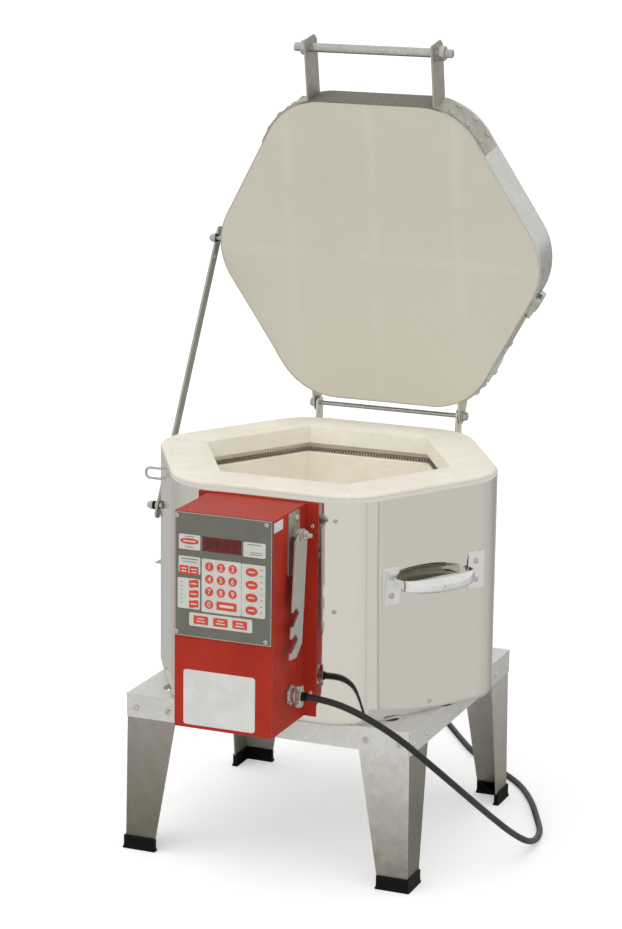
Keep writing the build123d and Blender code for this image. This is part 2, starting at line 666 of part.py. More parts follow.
    block = plate((-width / 2, width / 2), (PLATE_FACE - depth, PLATE_FACE),
                  (z - height / 2, z + height / 2))
    for k in range(TERMINALS):
        x = -width / 2 + width * (k + 0.5) / TERMINALS
        block -= rod((x, PLATE_FACE - depth, z), (x, PLATE_FACE - depth + TERMINAL_DEPTH, z),
                     TERMINAL_RADIUS)
    nodes["terminal_block"] = block


def make_cord(nodes):
    """The strain relief, the cord down to the floor and round behind, its coil and plug."""
    relief_y = PLATE_FACE - RELIEF_DEPTH
    x = BOX_SPAN[1]
    radii = (RELIEF_FLANGE / 2, CORD_DIAMETER / 2 + 3.5, CORD_DIAMETER / 2 + 2.0)
    relief = None
    for length, radius in zip(RELIEF_LENGTHS, radii):
        step = rod((x, relief_y, RELIEF_HEIGHT), (x + length, relief_y, RELIEF_HEIGHT), radius)
        relief = step if relief is None else relief + step
        x += length
    ear_x = (x - RELIEF_LENGTHS[2], x)
    ears = plate(ear_x, (relief_y - 4.0, relief_y + 4.0),
                 (RELIEF_HEIGHT - RELIEF_FLANGE / 2 - 2.0, RELIEF_HEIGHT + RELIEF_FLANGE / 2 + 2.0))
    nodes["strain_relief"] = relief + ears

    points = [(x, relief_y, RELIEF_HEIGHT)] + [tuple(p) for p in CORD_ROUTE]
    turn = math.radians(COIL_ENTRY_ANGLE)
    outer = COIL_TURN_RADIUS + CORD_DIAMETER / 2
    points.append((COIL_MIDDLE[0] + outer * math.cos(turn),
                   COIL_MIDDLE[1] + outer * math.sin(turn), CORD_DIAMETER / 2))
    vectors = [Vector(*p) for p in points]
    runs = [b - a for a, b in zip(vectors, vectors[1:])]
    radii = []
    for first, second in zip(runs, runs[1:]):
        bend = math.radians(first.get_angle(second))
        radii.append(0.45 * min(first.length, second.length) / math.tan(bend / 2))
    path = FilletPolyline(*points, radius=radii)
    start = Plane(origin=points[0], z_dir=runs[0])
    cord = sweep(start * Circle(CORD_DIAMETER / 2), path=path)
    print("cord radii", [round(r) for r in radii])
    print("cord runs", [round(r.length) for r in runs])
    print("cord tube length", round(path.length, 1), "volume over section",
          round(cord.volume / (math.pi * CORD_DIAMETER ** 2 / 4), 1))

    inner = COIL_TURN_RADIUS - CORD_DIAMETER / 2
    half = CORD_DIAMETER / 2
    wound = Circle(outer + half) - Circle(inner - half)
    coil = Pos(COIL_MIDDLE[0], COIL_MIDDLE[1], 0) * raised(wound, CORD_DIAMETER + COIL_LAYERS_RISE)
    nodes["cord_coil"] = coil

    lead_x = COIL_MIDDLE[0] - COIL_TURN_RADIUS
    lead_z = half + COIL_LAYERS_RISE
    plug_y = COIL_MIDDLE[1] - outer - half - LEAD_LENGTH
    lead_points = [(lead_x, COIL_MIDDLE[1], lead_z), (lead_x, COIL_MIDDLE[1] - outer, lead_z - 1.0),
                   (lead_x, plug_y, PLUG_SIZE[2] / 2)]
    line = FilletPolyline(*lead_points, radius=[200.0])
    lead_start = Plane(origin=lead_points[0], z_dir=Vector(*lead_points[1]) - Vector(*lead_points[0]))
    lead = sweep(lead_start * Circle(half), path=line)
    nodes["power_cord"] = [cord, lead]
    width, length, height = PLUG_SIZE
    body = plate((lead_x - width / 2, lead_x + width / 2), (plug_y - length, plug_y), (0, height))
    body = chamfer(body.edges().filter_by(Axis.Y), 4.0) - lead
    nodes["plug_body"] = body
    tip_y = plug_y - length
    blades = []
    for side in (-1, 1):
        x = lead_x + side * BLADE_SPREAD / 2
        z = height / 2 + 3.0
        blades.append(plate((x - BLADE_SIZE[0] / 2, x + BLADE_SIZE[0] / 2),
                            (tip_y - BLADE_SIZE[1], tip_y),
                            (z - BLADE_SIZE[2] / 2, z + BLADE_SIZE[2] / 2)))
    pin_z = height / 2 - 6.0
    blades.append(rod((lead_x, tip_y, pin_z), (lead_x, tip_y - GROUND_PIN_LENGTH, pin_z),
                      GROUND_PIN_RADIUS))
    nodes["plug_blades"] = blades


def prop_profile():
    """The vent prop's outline, u down the bar from its pivot and w towards the front."""
    w = PROP_HALF_WIDTH
    end = PROP_LENGTH
    head = PROP_HEAD_RADIUS
    blade = Polygon((0, -head), (head, -w), (end - 17, -w), (end, -1), (end, w), (head, w), (0, head),
                    align=None)
    blade += Circle(head)
    lower = Polygon((end - 8.4, w + 1), (end - 8.6, w - 6), (end - 23.7, -5.4), (end - 32, 5),
                    (end - 26.1, w + 1), align=None)
    upper = Polygon((end - 42, w + 1), (end - 42.4, w - 7.4), (end - 57.4, -4.3),
                    (end - 65.9, 6.1), (end - 60.2, w + 1), align=None)
    return blade - lower - upper - Circle(BOLT_RADIUS + PIVOT_CLEARANCE)


def make_vent_prop(nodes):
    """The bracket, its pivot bolt and the notched bar that holds the lid ajar."""
    y, z = PROP_PIVOT
    side = BOX_SPAN[1]
    depths = [PLATE_FACE - d for d in reversed(PROP_PLATE_DEPTHS)]
    face = side + PROP_PLATE_SHEET
    bracket = plate((side, face), depths, PROP_PLATE_HEIGHTS)
    bracket = fillet(bracket.edges().filter_by(Axis.X), 5.0)
    seats = [(face, y + 6.5, PROP_PLATE_HEIGHTS[1] - 9.0), (face, y + 1.0, PROP_PLATE_HEIGHTS[0] + 12.0)]
    inward = (-1, 0, 0)
    length = PROP_PLATE_SHEET + BOX_SHEET
    holes = [screw_hole(s, inward, SMALL_SHANK, length) for s in seats]
    screws = [screw(s, inward, PAN_HEAD, SMALL_SHANK, length) for s in seats]
    nodes["prop_bracket"] = bracket - holes
    nodes["control_box"] = nodes["control_box"] - holes
    nodes["box_screws"] += screws

    bar = face + PROP_GAP
    tip = bar + PROP_SHEET + FACE_CLEARANCE
    near = bar - FACE_CLEARANCE
    bolt = rod((face, y, z), (face + PROP_BOLT_REACH - PROP_PLATE_SHEET, y, z), BOLT_RADIUS)
    pieces = [
        bolt,
        hex_nut((face, y, z), (near - WASHER_SHEET, y, z), NUT_ACROSS_FLATS, BOLT_RADIUS),
        ring((near - WASHER_SHEET, y, z), (near, y, z), WASHER_RADIUS, BOLT_RADIUS),
        ring((tip, y, z), (tip + WASHER_SHEET, y, z), WASHER_RADIUS, BOLT_RADIUS),
        hex_nut((tip + WASHER_SHEET, y, z), (tip + WASHER_SHEET + NUT_HEIGHT, y, z),
                NUT_ACROSS_FLATS, BOLT_RADIUS),
    ]
    nodes["prop_pivot_bolt"] = pieces
    lean = math.radians(PROP_LEAN)
    frame = Plane(origin=(bar + PROP_SHEET, y, z), x_dir=(0, -math.sin(lean), -math.cos(lean)),
                  z_dir=(-1, 0, 0))
    nodes["vent_prop"] = frame * raised(prop_profile(), PROP_SHEET)


def carry_handle(offset):
    """A handle for the side that faces +X: two end plates and a bowed channel grip."""
    rivet_rows = []
    span = HANDLE_INNER_SPAN / 2
    height, width = HANDLE_PLATE
    low = (HANDLE_Z - height / 2, HANDLE_Z + height / 2)
    face = CASE_APOTHEM + HANDLE_PLATE_SHEET
    handle = plate((CASE_APOTHEM, face), (offset - span - width, offset - span), low)
    handle += plate((CASE_APOTHEM, face), (offset + span, offset + span + width), low)
    reach = CASE_APOTHEM + GRIP_REACH
    start, end = offset - span - 3.0, offset + span + 3.0

    def arch(inset, radius):
        base = CASE_APOTHEM + (0 if inset == 0 else -1.0)
        points = [(base, start + inset), (reach - inset, start + GRIP_RUN_IN + inset),
                  (reach - inset, end - GRIP_RUN_IN - inset), (base, end - inset)]
        shape = Polygon(*points, align=None)
        far = shape.vertices().sort_by(Axis.X)[-2:]
        return fillet(far, radius)

    low = HANDLE_Z - GRIP_HEIGHT / 2
    web = arch(0, GRIP_RADIUS) - arch(GRIP_SHEET, GRIP_RADIUS - GRIP_SHEET)
    lips = arch(0, GRIP_RADIUS) - arch(GRIP_LIP, GRIP_RADIUS - GRIP_LIP)
    handle += Pos(0, 0, low) * raised(web, GRIP_HEIGHT)
    handle += Pos(0, 0, low) * raised(lips, GRIP_SHEET)
    handle += Pos(0, 0, low + GRIP_HEIGHT - GRIP_SHEET) * raised(lips, GRIP_SHEET)
    for along in (offset - span - width / 2, offset + span + width / 2 - 1.0):
        for rise in (-RIVET_RISE, RIVET_RISE):
            rivet_rows.append((face, along, HANDLE_Z + rise))
    return handle, rivet_rows


def make_case_screws(nodes):
    """The small screws that hold the wrap's lower edge and its seams."""
    length = CASE_SHEET + BRICK_GAP / 2
    inward = (-1, 0, 0)
    screws, holes = [], []
    for angle in (-150, -30, 30, 150):
        seat = (CASE_APOTHEM, SIDE_SCREW_ALONG, DECK_TOP + SIDE_SCREW_RISE)
        screws.append(on_side(angle, screw(seat, inward, SMALL_HEAD, SMALL_SHANK, length)))
        holes.append(on_side(angle, screw_hole(seat, inward, SMALL_SHANK, length)))
    centre = corner_middle(CASE_APOTHEM, CASE_RADIUS)
    for corner in (-60, 120):
        turn = math.radians(-SEAM_SCREW_TURN)
        direction = (-math.cos(turn), -math.sin(turn), 0)
        for rise in SEAM_SCREW_RISES:
            seat = (centre + CASE_RADIUS * math.cos(turn), CASE_RADIUS * math.sin(turn), DECK_TOP + rise)
            screws.append(on_side(corner, screw(seat, direction, SMALL_HEAD, SMALL_SHANK, length)))
            holes.append(on_side(corner, screw_hole(seat, direction, SMALL_SHANK, length)))
    nodes["case_wrap"] = nodes["case_wrap"] - holes
    nodes["case_screws"] = screws


def make_carry_handles(nodes):
    """A handle on the front right side and one on the back left side."""
    rivets = []
    inward = (-1, 0, 0)
    length = HANDLE_PLATE_SHEET + CASE_SHEET
    for name, angle, offset in (("right", -30, HANDLE_OFFSET), ("left", 150, -HANDLE_OFFSET)):
        handle, seats = carry_handle(offset)
        holes = [screw_hole(s, inward, LARGE_SHANK, length) for s in seats]
        nodes["carry_handle_" + name] = on_side(angle, handle - holes)
        nodes["case_wrap"] = nodes["case_wrap"] - [on_side(angle, h) for h in holes]
        rivets += [on_side(angle, screw(s, inward, RIVET_HEAD, LARGE_SHANK, length)) for s in seats]
    nodes["handle_rivets"] = rivets


def make_hinge_posts(nodes):
    """The two posts behind the case, the hinge rod and its outer nuts."""
    low, high = POST_FOOT_HEIGHTS
    back = CASE_APOTHEM + POST_BACK
    eye = Circle(POST_ROUND)
    web = Polygon((CASE_APOTHEM, low), (CASE_APOTHEM, CASE_TOP - 1.5), (back, CASE_TOP + 3.0),
                  (HINGE_Y - POST_ROUND, HINGE_Z - POST_ROUND / 2),
                  (HINGE_Y - POST_ROUND, HINGE_Z), (HINGE_Y + POST_ROUND, HINGE_Z),
                  (HINGE_Y + POST_ROUND, high - 10.0), (CASE_APOTHEM + 10.0, low), align=None)
    web += Pos(HINGE_Y, HINGE_Z) * eye
    web -= Pos(HINGE_Y, HINGE_Z) * Circle(HINGE_ROD_RADIUS + PIVOT_CLEARANCE)
    right = side_outline(web, POST_INSIDE, POST_INSIDE + POST_SHEET)
    foot_face = CASE_APOTHEM + POST_SHEET
    right += plate((POST_FOOT_INSIDE, POST_INSIDE + POST_SHEET), (CASE_APOTHEM, foot_face), (low, high))
    seats = []
    for x in (POST_FOOT_INSIDE + 8.0, POST_FOOT_INSIDE + 20.0):
        for z in (low + 12.0, high - 12.0):
            seats.append((x, foot_face, z))
    inward = (0, -1, 0)
    length = POST_SHEET + CASE_SHEET
    holes = [screw_hole(s, inward, LARGE_SHANK, length) for s in seats]
    screws = [screw(s, inward, PAN_HEAD, LARGE_SHANK, length) for s in seats]
    right -= holes
    nodes["hinge_post_right"] = right
    nodes["hinge_post_left"] = mirror(right, Plane.YZ)
    nodes["case_wrap"] = nodes["case_wrap"] - (holes + [mirror(h, Plane.YZ) for h in holes])
    nodes["case_screws"] += screws + [mirror(s, Plane.YZ) for s in screws]

    half = HINGE_ROD_LENGTH / 2
    nodes["hinge_rod"] = rod((-half, HINGE_Y, HINGE_Z), (half, HINGE_Y, HINGE_Z), HINGE_ROD_RADIUS)
    start = EAR_INSIDE + STRAP_SHEET + FACE_CLEARANCE
    nuts = []
    for side in (-1, 1):
        nuts.append(ring((side * start, HINGE_Y, HINGE_Z),
                         (side * (start + WASHER_SHEET), HINGE_Y, HINGE_Z),
                         WASHER_RADIUS, HINGE_ROD_RADIUS))
        nuts.append(hex_nut((side * (start + WASHER_SHEET), HINGE_Y, HINGE_Z),
                            (side * (half - 0.8), HINGE_Y, HINGE_Z),
                            NUT_ACROSS_FLATS, HINGE_ROD_RADIUS))
    nodes["hinge_nuts"] = nuts


def corner_sheet(middle_x, sheet):
    """A strap bent round the lid's +X +Y corner, in plan, from the sheet of its arm at middle_x."""
    centre = corner_middle(LID_APOTHEM, LID_RADIUS)
    cx, cy = centre * math.cos(SIXTY), centre * math.sin(SIXTY)
    band = Pos(cx, cy) * (Circle(LID_RADIUS + sheet) - Circle(LID_RADIUS))
    angle = math.acos((middle_x - cx) / (LID_RADIUS + sheet / 2))
    far = 3 * LID_RADIUS
    wedge = Polygon((cx, cy), (cx + far * math.cos(angle), cy + far * math.sin(angle)),
                    (cx + far * math.cos(math.radians(30)), cy + far * math.sin(math.radians(30))),
                    align=None)
    half = flat_half(LID_APOTHEM, LID_RADIUS)
    run = Rot(0, 0, 30) * Pos(LID_APOTHEM + sheet / 2, half - STRAP_RUN_ON / 2)
    return (band & wedge) + run * Rectangle(sheet, STRAP_RUN_ON)


def strap_seats(side_y):
    """Where the screws sit on a corner strap: seat point and inward direction."""
    centre = corner_middle(LID_APOTHEM, LID_RADIUS)
    cx, cy = centre * math.cos(SIXTY), centre * math.sin(SIXTY)
    seats = []
    reach = LID_RADIUS + STRAP_SHEET
    for turn in STRAP_SCREW_TURNS:
        angle = math.radians(turn)
        for z in (STRAP_LOW + STRAP_SCREW_INSET, STRAP_HIGH - STRAP_SCREW_INSET):
            seat = (cx + reach * math.cos(angle), side_y * (cy + reach * math.sin(angle)), z)
            seats.append((seat, (-math.cos(angle), -side_y * math.sin(angle), 0)))
    return seats


def handle_strap():
    """The front right strap and its arm, shut: the arm carries the handle rod."""
    plan = mirror(corner_sheet(ARM_MIDDLE, STRAP_SHEET), Plane.XZ)
    strap = Pos(0, 0, STRAP_LOW) * raised(plan, STRAP_WIDTH)
    centre = corner_middle(LID_APOTHEM, LID_RADIUS)
    cx, cy = centre * math.cos(SIXTY), centre * math.sin(SIXTY)
    root = -(cy + math.sqrt(LID_RADIUS ** 2 - (ARM_MIDDLE - STRAP_SHEET / 2 - cx) ** 2))
    tip = ROD_Y - ARM_TIP
    shape = Polygon((root, STRAP_LOW), (tip, STRAP_LOW), (tip, STRAP_HIGH - ARM_CHAMFER),
                    (tip + ARM_CHAMFER, STRAP_HIGH), (root, STRAP_HIGH), align=None)
    shape -= Pos(ROD_Y, ROD_Z) * Circle(HANDLE_ROD_RADIUS + ROD_FIT)
    arm = side_outline(shape, ARM_MIDDLE - STRAP_SHEET / 2, ARM_MIDDLE + STRAP_SHEET / 2)
    return strap + arm


def hinge_strap():
    """The rear right strap and the ear that turns on the hinge rod, shut."""
    middle = EAR_INSIDE + STRAP_SHEET / 2
    strap = Pos(0, 0, STRAP_LOW) * raised(corner_sheet(middle, STRAP_SHEET), STRAP_WIDTH)
    centre = corner_middle(LID_APOTHEM, LID_RADIUS)
    cx, cy = centre * math.cos(SIXTY), centre * math.sin(SIXTY)
    root = cy + math.sqrt(LID_RADIUS ** 2 - (EAR_INSIDE - cx) ** 2)
    hinge = (HINGE_Y, HINGE_Z)
    above = tangent_point((root, STRAP_HIGH), hinge, EAR_ROUND, -1)
    below = tangent_point((root, STRAP_LOW), hinge, EAR_ROUND, 1)
    shape = Polygon((root, STRAP_LOW), below, hinge, above, (root, STRAP_HIGH), align=None)
    shape += Pos(HINGE_Y, HINGE_Z) * Circle(EAR_ROUND)
    shape -= Pos(HINGE_Y, HINGE_Z) * Circle(HINGE_ROD_RADIUS + PIVOT_CLEARANCE)
    return strap + side_outline(shape, EAR_INSIDE, EAR_INSIDE + STRAP_SHEET)


def rim_clamp(rise):
    """One worm-drive clamp on the rim, by the +X corner, for a height above the hot face."""
    low = HOT_FACE + rise - CLAMP_WIDTH / 2
    centre = corner_middle(LID_APOTHEM, LID_RADIUS)
    half = flat_half(LID_APOTHEM, LID_RADIUS)
    band = Pos(centre, 0) * (Circle(LID_RADIUS + CLAMP_SHEET) - Circle(LID_RADIUS))
    far = 3 * LID_RADIUS
    wedge = Polygon((centre, 0), (centre + far, 0),
                    (centre + far * math.cos(math.radians(30)), far * math.sin(math.radians(30))),
                    align=None)
    start = -half
    end = CLAMP_TAIL
    run = Rot(0, 0, 30) * Pos(LID_APOTHEM + CLAMP_SHEET / 2, (start + end) / 2)
    plan = (band & wedge) + run * Rectangle(CLAMP_SHEET, end - start)
    strip = Pos(0, 0, low) * raised(plan, CLAMP_WIDTH)
    length, height = CLAMP_HOUSING
    box = plate((LID_APOTHEM, LID_APOTHEM + height), (start, start + length), (low, low + CLAMP_WIDTH))
    box = fillet(box.edges().filter_by(Axis.Y).sort_by(Axis.X)[-2:], 3.0)
    axis_x = LID_APOTHEM + height / 2
    box += rod((axis_x, start + length, low + CLAMP_WIDTH / 2),
               (axis_x, start + length + CLAMP_SCREW_REACH, low + CLAMP_WIDTH / 2), CLAMP_SCREW_RADIUS)
    return strip + on_side(30, box)


def make_lid(nodes):
    """The lid and all it carries, shut."""
    slab_apothem = LID_APOTHEM - LID_SHEET
    slab_radius = LID_RADIUS - LID_SHEET
    slab = prism(slab_apothem, slab_radius, HOT_FACE, LID_TOP)
    band = prism(LID_APOTHEM, LID_RADIUS, HOT_FACE, LID_TOP)
    band -= prism(slab_apothem, slab_radius, HOT_FACE, LID_TOP)

    handle = handle_strap()
    hinge = hinge_strap()
    length = STRAP_SHEET + LID_SHEET + STRAP_SCREW_BITE
    front = strap_seats(-1)
    rear = strap_seats(1)
    screws = [screw(s, d, PAN_HEAD, SMALL_SHANK, length) for s, d in front + rear]
    holes = [screw_hole(s, d, SMALL_SHANK, length) for s, d in front + rear]
    screws += [mirror(s, Plane.YZ) for s in screws]
    holes += [mirror(h, Plane.YZ) for h in holes]
    clamp_length = CLAMP_SHEET + LID_SHEET + STRAP_SCREW_BITE
    clamps = []
    for rise in CLAMP_RISES:
        seat = (LID_APOTHEM + CLAMP_SHEET, CLAMP_TAIL - CLAMP_SCREW_INSET, HOT_FACE + rise)
        screws.append(on_side(30, screw(seat, (-1, 0, 0), PAN_HEAD, SMALL_SHANK, clamp_length)))
        holes.append(on_side(30, screw_hole(seat, (-1, 0, 0), SMALL_SHANK, clamp_length)))
        clamps.append(rim_clamp(rise))

    edge = corner_reach(LID_APOTHEM, LID_RADIUS)
    stud_root = edge - STUD_DEPTH
    stud_hole = rod((-stud_root + 0.2, STUD_Y, STUD_Z), (-edge - 1.0, STUD_Y, STUD_Z),
                    BOLT_RADIUS + ROD_FIT)
    nodes["lid_slab"] = slab - (holes + [stud_hole])
    nodes["lid_band"] = band - (holes + [stud_hole])
    nodes["handle_strap_right"] = handle - holes
    nodes["handle_strap_left"] = mirror(handle, Plane.YZ) - holes
    nodes["hinge_strap_right"] = hinge - holes
    nodes["hinge_strap_left"] = mirror(hinge, Plane.YZ) - holes
    nodes["rim_clamps"] = [c - holes for c in clamps]
    nodes["strap_screws"] = screws

    half = HANDLE_ROD_LENGTH / 2
    nodes["lid_handle_rod"] = rod((-half, ROD_Y, ROD_Z), (half, ROD_Y, ROD_Z), HANDLE_ROD_RADIUS)
    nuts = []
    start = ARM_MIDDLE + STRAP_SHEET / 2
    washer_end = start + WASHER_SHEET
    nut_end = washer_end + HANDLE_NUT_HEIGHT
    for side in (-1, 1):
        nuts.append(ring((side * start, ROD_Y, ROD_Z), (side * washer_end, ROD_Y, ROD_Z),
                         HANDLE_ROD_RADIUS * 1.9, HANDLE_ROD_RADIUS))
        nuts.append(hex_nut((side * washer_end, ROD_Y, ROD_Z), (side * nut_end, ROD_Y, ROD_Z),
                            HANDLE_ROD_RADIUS * 3, HANDLE_ROD_RADIUS))
    nodes["handle_rod_nuts"] = nuts

    outer = ARM_PLANE + ARM_SHEET / 2 + FACE_CLEARANCE + 0.1
    inner = ARM_PLANE - ARM_SHEET / 2 - FACE_CLEARANCE

    def at(x):
        return (-x, STUD_Y, STUD_Z)

    washer_end = outer + WASHER_SHEET
    nut_end = washer_end + NUT_HEIGHT
    nodes["lid_stud"] = [
        rod(at(stud_root), at(washer_end + BOLT_IN_NUT), BOLT_RADIUS),
        hex_nut(at(edge), at(edge + NUT_HEIGHT), NUT_ACROSS_FLATS, BOLT_RADIUS),
        ring(at(edge + NUT_HEIGHT), at(inner), BOLT_RADIUS + 2.0, BOLT_RADIUS),
        ring(at(outer), at(washer_end), WASHER_RADIUS, BOLT_RADIUS),
        acorn_nut(at(washer_end), at(nut_end), at(STUD_TIP), at(washer_end + BOLT_IN_NUT)),
    ]


def opened(y, z):
    """Where a point of the shut lid goes when the lid stands open."""
    angle = math.radians(LID_OPEN_ANGLE)
    dy, dz = y - HINGE_Y, z - HINGE_Z
    return (HINGE_Y + dy * math.cos(angle) + dz * math.sin(angle),
            HINGE_Z - dy * math.sin(angle) + dz * math.cos(angle))


def make_support_arm(nodes):
    """The flat arm at the left corner, its pivot, its rest strip and the ring."""
    edge = corner_reach(CASE_APOTHEM, CASE_RADIUS)
    stud_y, stud_z = opened(STUD_Y, STUD_Z)
    centres = math.hypot(stud_y, stud_z - ARM_PIVOT_Z)
    lean = math.atan2(stud_y, stud_z - ARM_PIVOT_Z)
    length = centres + 2 * ARM_OVERHANG
    bar = Pos(centres / 2, 0) * SlotOverall(length, ARM_WIDTH)
    bar -= Circle(BOLT_RADIUS + PIVOT_CLEARANCE)
    bar -= Pos(centres - SPARE_HOLE_SPACING, 0) * Circle(BOLT_RADIUS + NOTCH_CLEARANCE)
    notch = BOLT_RADIUS + NOTCH_CLEARANCE
    bar -= Pos(centres, 0) * Circle(notch)
    away_y = -(stud_z - HINGE_Z)
    away_z = stud_y - HINGE_Y
    along = (away_y * math.sin(lean) + away_z * math.cos(lean))
    across = (-away_y * math.cos(lean) + away_z * math.sin(lean))
    mouth = math.degrees(math.atan2(across, along))
    for angle in (mouth, 90.0):
        slot = Rot(0, 0, angle) * Pos(ARM_WIDTH, 0) * Rectangle(2 * ARM_WIDTH, 2 * notch)
        bar -= Pos(centres, 0) * slot
    far = -(ARM_PLANE + ARM_SHEET / 2)
    frame = Plane(origin=(far, 0, ARM_PIVOT_Z), x_dir=(0, math.sin(lean), math.cos(lean)),
                  z_dir=(1, 0, 0))
    nodes["support_arm"] = frame * raised(bar, ARM_SHEET)

    def at(x):
        return (-x, 0, ARM_PIVOT_Z)

    inner = ARM_PLANE - ARM_SHEET / 2 - FACE_CLEARANCE / 2
    outer = ARM_PLANE + ARM_SHEET / 2 + FACE_CLEARANCE / 2
    washer_end = outer + 2.5
    ring_end = washer_end + 4.5
    nut_end = ring_end + 4.5
    bolt_root = edge - CASE_SHEET - 0.1
    bolt_hole = rod(at(bolt_root - 1.0), at(edge + 1.0), BOLT_RADIUS + ROD_FIT)
    nodes["arm_pivot_bolt"] = [
        rod(at(bolt_root), at(ring_end + BOLT_IN_NUT), BOLT_RADIUS),
        hex_nut(at(edge), at(edge + NUT_HEIGHT), NUT_ACROSS_FLATS, BOLT_RADIUS),
        ring(at(edge + NUT_HEIGHT), at(inner), BOLT_RADIUS + 2.4, BOLT_RADIUS),
        ring(at(outer), at(washer_end), BOLT_RADIUS + 3.2, BOLT_RADIUS),
        acorn_nut(at(ring_end), at(nut_end), at(ARM_BOLT_TIP), at(ring_end + BOLT_IN_NUT)),
    ]
    nodes["friction_washer"] = ring(at(washer_end), at(ring_end), FRICTION_WASHER_RADIUS, BOLT_RADIUS)

    half = REST_STRIP_WIDTH / 2
    face = -(edge + REST_STRIP_SHEET)
    low, high = REST_STRIP_HEIGHTS
    strip = plate((face, -edge), (-half, half), REST_STRIP_HEIGHTS)
    slot_low, slot_high = REST_SLOT_HEIGHTS
    middle = (slot_low + slot_high) / 2
    slot = Pos(0, middle) * SlotOverall(slot_high - slot_low, half, rotation=90)
    strip -= side_outline(slot, face, -edge)
    strip += plate((face - REST_FOOT_REACH, face), (-half, half), (low, low + REST_STRIP_SHEET))
    inward = (1, 0, 0)
    length = REST_STRIP_SHEET + CASE_SHEET
    strip_seats = [(face, 0, high - 10.0), (face, 0, slot_high + 10.0)]
    plate_seats = [(face, RING_Y, RING_PLATE_HEIGHTS[1] - 6.0), (face, RING_Y, RING_HEIGHTS[1] + 5.0)]
    strip_holes = [screw_hole(s, inward, SMALL_SHANK, length) for s in strip_seats]
    plate_holes = [screw_hole(s, inward, SMALL_SHANK, length) for s in plate_seats]
    nodes["arm_rest_strip"] = strip - strip_holes
    eye = plate((face, -edge), (RING_Y - half, RING_Y + half), RING_PLATE_HEIGHTS)
    eye = fillet(eye.edges().filter_by(Axis.X), 4.0)
    eye = eye - plate_holes
    nodes["case_wrap"] = nodes["case_wrap"] - (strip_holes + plate_holes + [bolt_hole])
    seats = strip_seats + plate_seats
    nodes["case_screws"] += [screw(s, inward, SMALL_HEAD, SMALL_SHANK, length) for s in seats]

    ring_low, ring_high = RING_HEIGHTS
    tip_x = face - RING_REACH + RING_WIRE
    path = FilletPolyline((face, RING_Y, ring_high), (tip_x, RING_Y, ring_high),
                          (tip_x, RING_Y, ring_low), (face, RING_Y, ring_low), radius=RING_BEND)
    start = Plane(origin=(face, RING_Y, ring_high), z_dir=(-1, 0, 0))
    nodes["wire_ring"] = [eye, sweep(start * Circle(RING_WIRE), path=path)]


CORD_NODES = ("power_cord", "cord_coil", "plug_body", "plug_blades")
LID_NODES = ("lid_slab", "lid_band", "rim_clamps", "handle_strap_left", "handle_strap_right",
             "lid_handle_rod", "handle_rod_nuts", "lid_stud", "hinge_strap_left",
             "hinge_strap_right", "strap_screws")


def solids_of(shape):
    """The separate solids of a node, whether it is one shape or a list."""
    shapes = shape if isinstance(shape, list) else [shape]
    return [solid for each in shapes for solid in each.solids()]


def build_nodes():
    """Every node as a list of solids, with the lid open and the origin in place."""
    nodes = {}
    make_stand(nodes)
    make_body(nodes)
    make_case_screws(nodes)
    make_control_box(nodes)
    make_cord(nodes)
    make_vent_prop(nodes)
    make_carry_handles(nodes)
    make_hinge_posts(nodes)
    make_lid(nodes)
    make_support_arm(nodes)
    parts = {name: solids_of(shape) for name, shape in nodes.items()}
    hinge = Axis((0, HINGE_Y, HINGE_Z), (1, 0, 0))
    for name in LID_NODES:
        parts[name] = [solid.rotate(hinge, -LID_OPEN_ANGLE) for solid in parts[name]]
    own = [s for name, solids in parts.items() if name not in CORD_NODES for s in solids]
    boxes = [solid.bounding_box() for solid in own]
    left, right = min(b.min.X for b in boxes), max(b.max.X for b in boxes)
    front, back = min(b.min.Y for b in boxes), max(b.max.Y for b in boxes)
    shift = Vector(-(left + right) / 2, -(front + back) / 2, -min(b.min.Z for b in boxes))
    moved = {name: [Pos(shift) * solid for solid in solids] for name, solids in parts.items()}
    return moved, shift


PARTS, SHIFT = build_nodes()
os.makedirs("parts", exist_ok=True)
for name, solids in PARTS.items():
    shape = solids[0] if len(solids) == 1 else Compound(children=solids)
    export_step(shape, os.path.join("parts", name + ".step"))
print("nodes", len(PARTS), "shift", [round(v, 3) for v in SHIFT])
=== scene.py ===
"""An electric craft kiln on a sheet-metal stand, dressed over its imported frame.

Shapes are worked out in millimetres about the kiln's own axis, and put into the row frame,
in metres, when a piece is made.
"""

import logging
import math
from dataclasses import dataclass
from enum import Enum
from typing import Sequence

import bmesh
import bpy
import numpy as np
from mathutils import Matrix, Vector


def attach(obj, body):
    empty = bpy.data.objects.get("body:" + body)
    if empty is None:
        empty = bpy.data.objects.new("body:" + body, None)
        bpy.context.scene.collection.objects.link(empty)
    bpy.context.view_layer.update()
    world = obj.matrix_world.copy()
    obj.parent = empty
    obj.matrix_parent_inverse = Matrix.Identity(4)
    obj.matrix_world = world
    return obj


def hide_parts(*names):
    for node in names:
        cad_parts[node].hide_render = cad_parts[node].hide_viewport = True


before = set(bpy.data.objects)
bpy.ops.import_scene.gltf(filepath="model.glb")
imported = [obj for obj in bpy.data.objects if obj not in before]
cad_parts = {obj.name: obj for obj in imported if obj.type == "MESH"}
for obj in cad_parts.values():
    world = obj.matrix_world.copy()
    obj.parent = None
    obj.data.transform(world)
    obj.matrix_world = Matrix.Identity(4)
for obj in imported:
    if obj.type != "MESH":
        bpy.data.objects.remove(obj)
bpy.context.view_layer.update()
log = logging.getLogger("kiln")

# The kiln's axis is in metres in the row frame; the hinge's line is in millimetres from that axis.
MM = 0.001
AXIS = np.array((0.011057, 0.027217, 0.0))
LID_OPEN = math.radians(79.5)
HINGE = np.array((0.0, 233.7, 540.2))

# The radius and the height of the two common screw heads.
PAN_HEAD = (4.2, 2.4)
SMALL_HEAD = (3.0, 1.6)

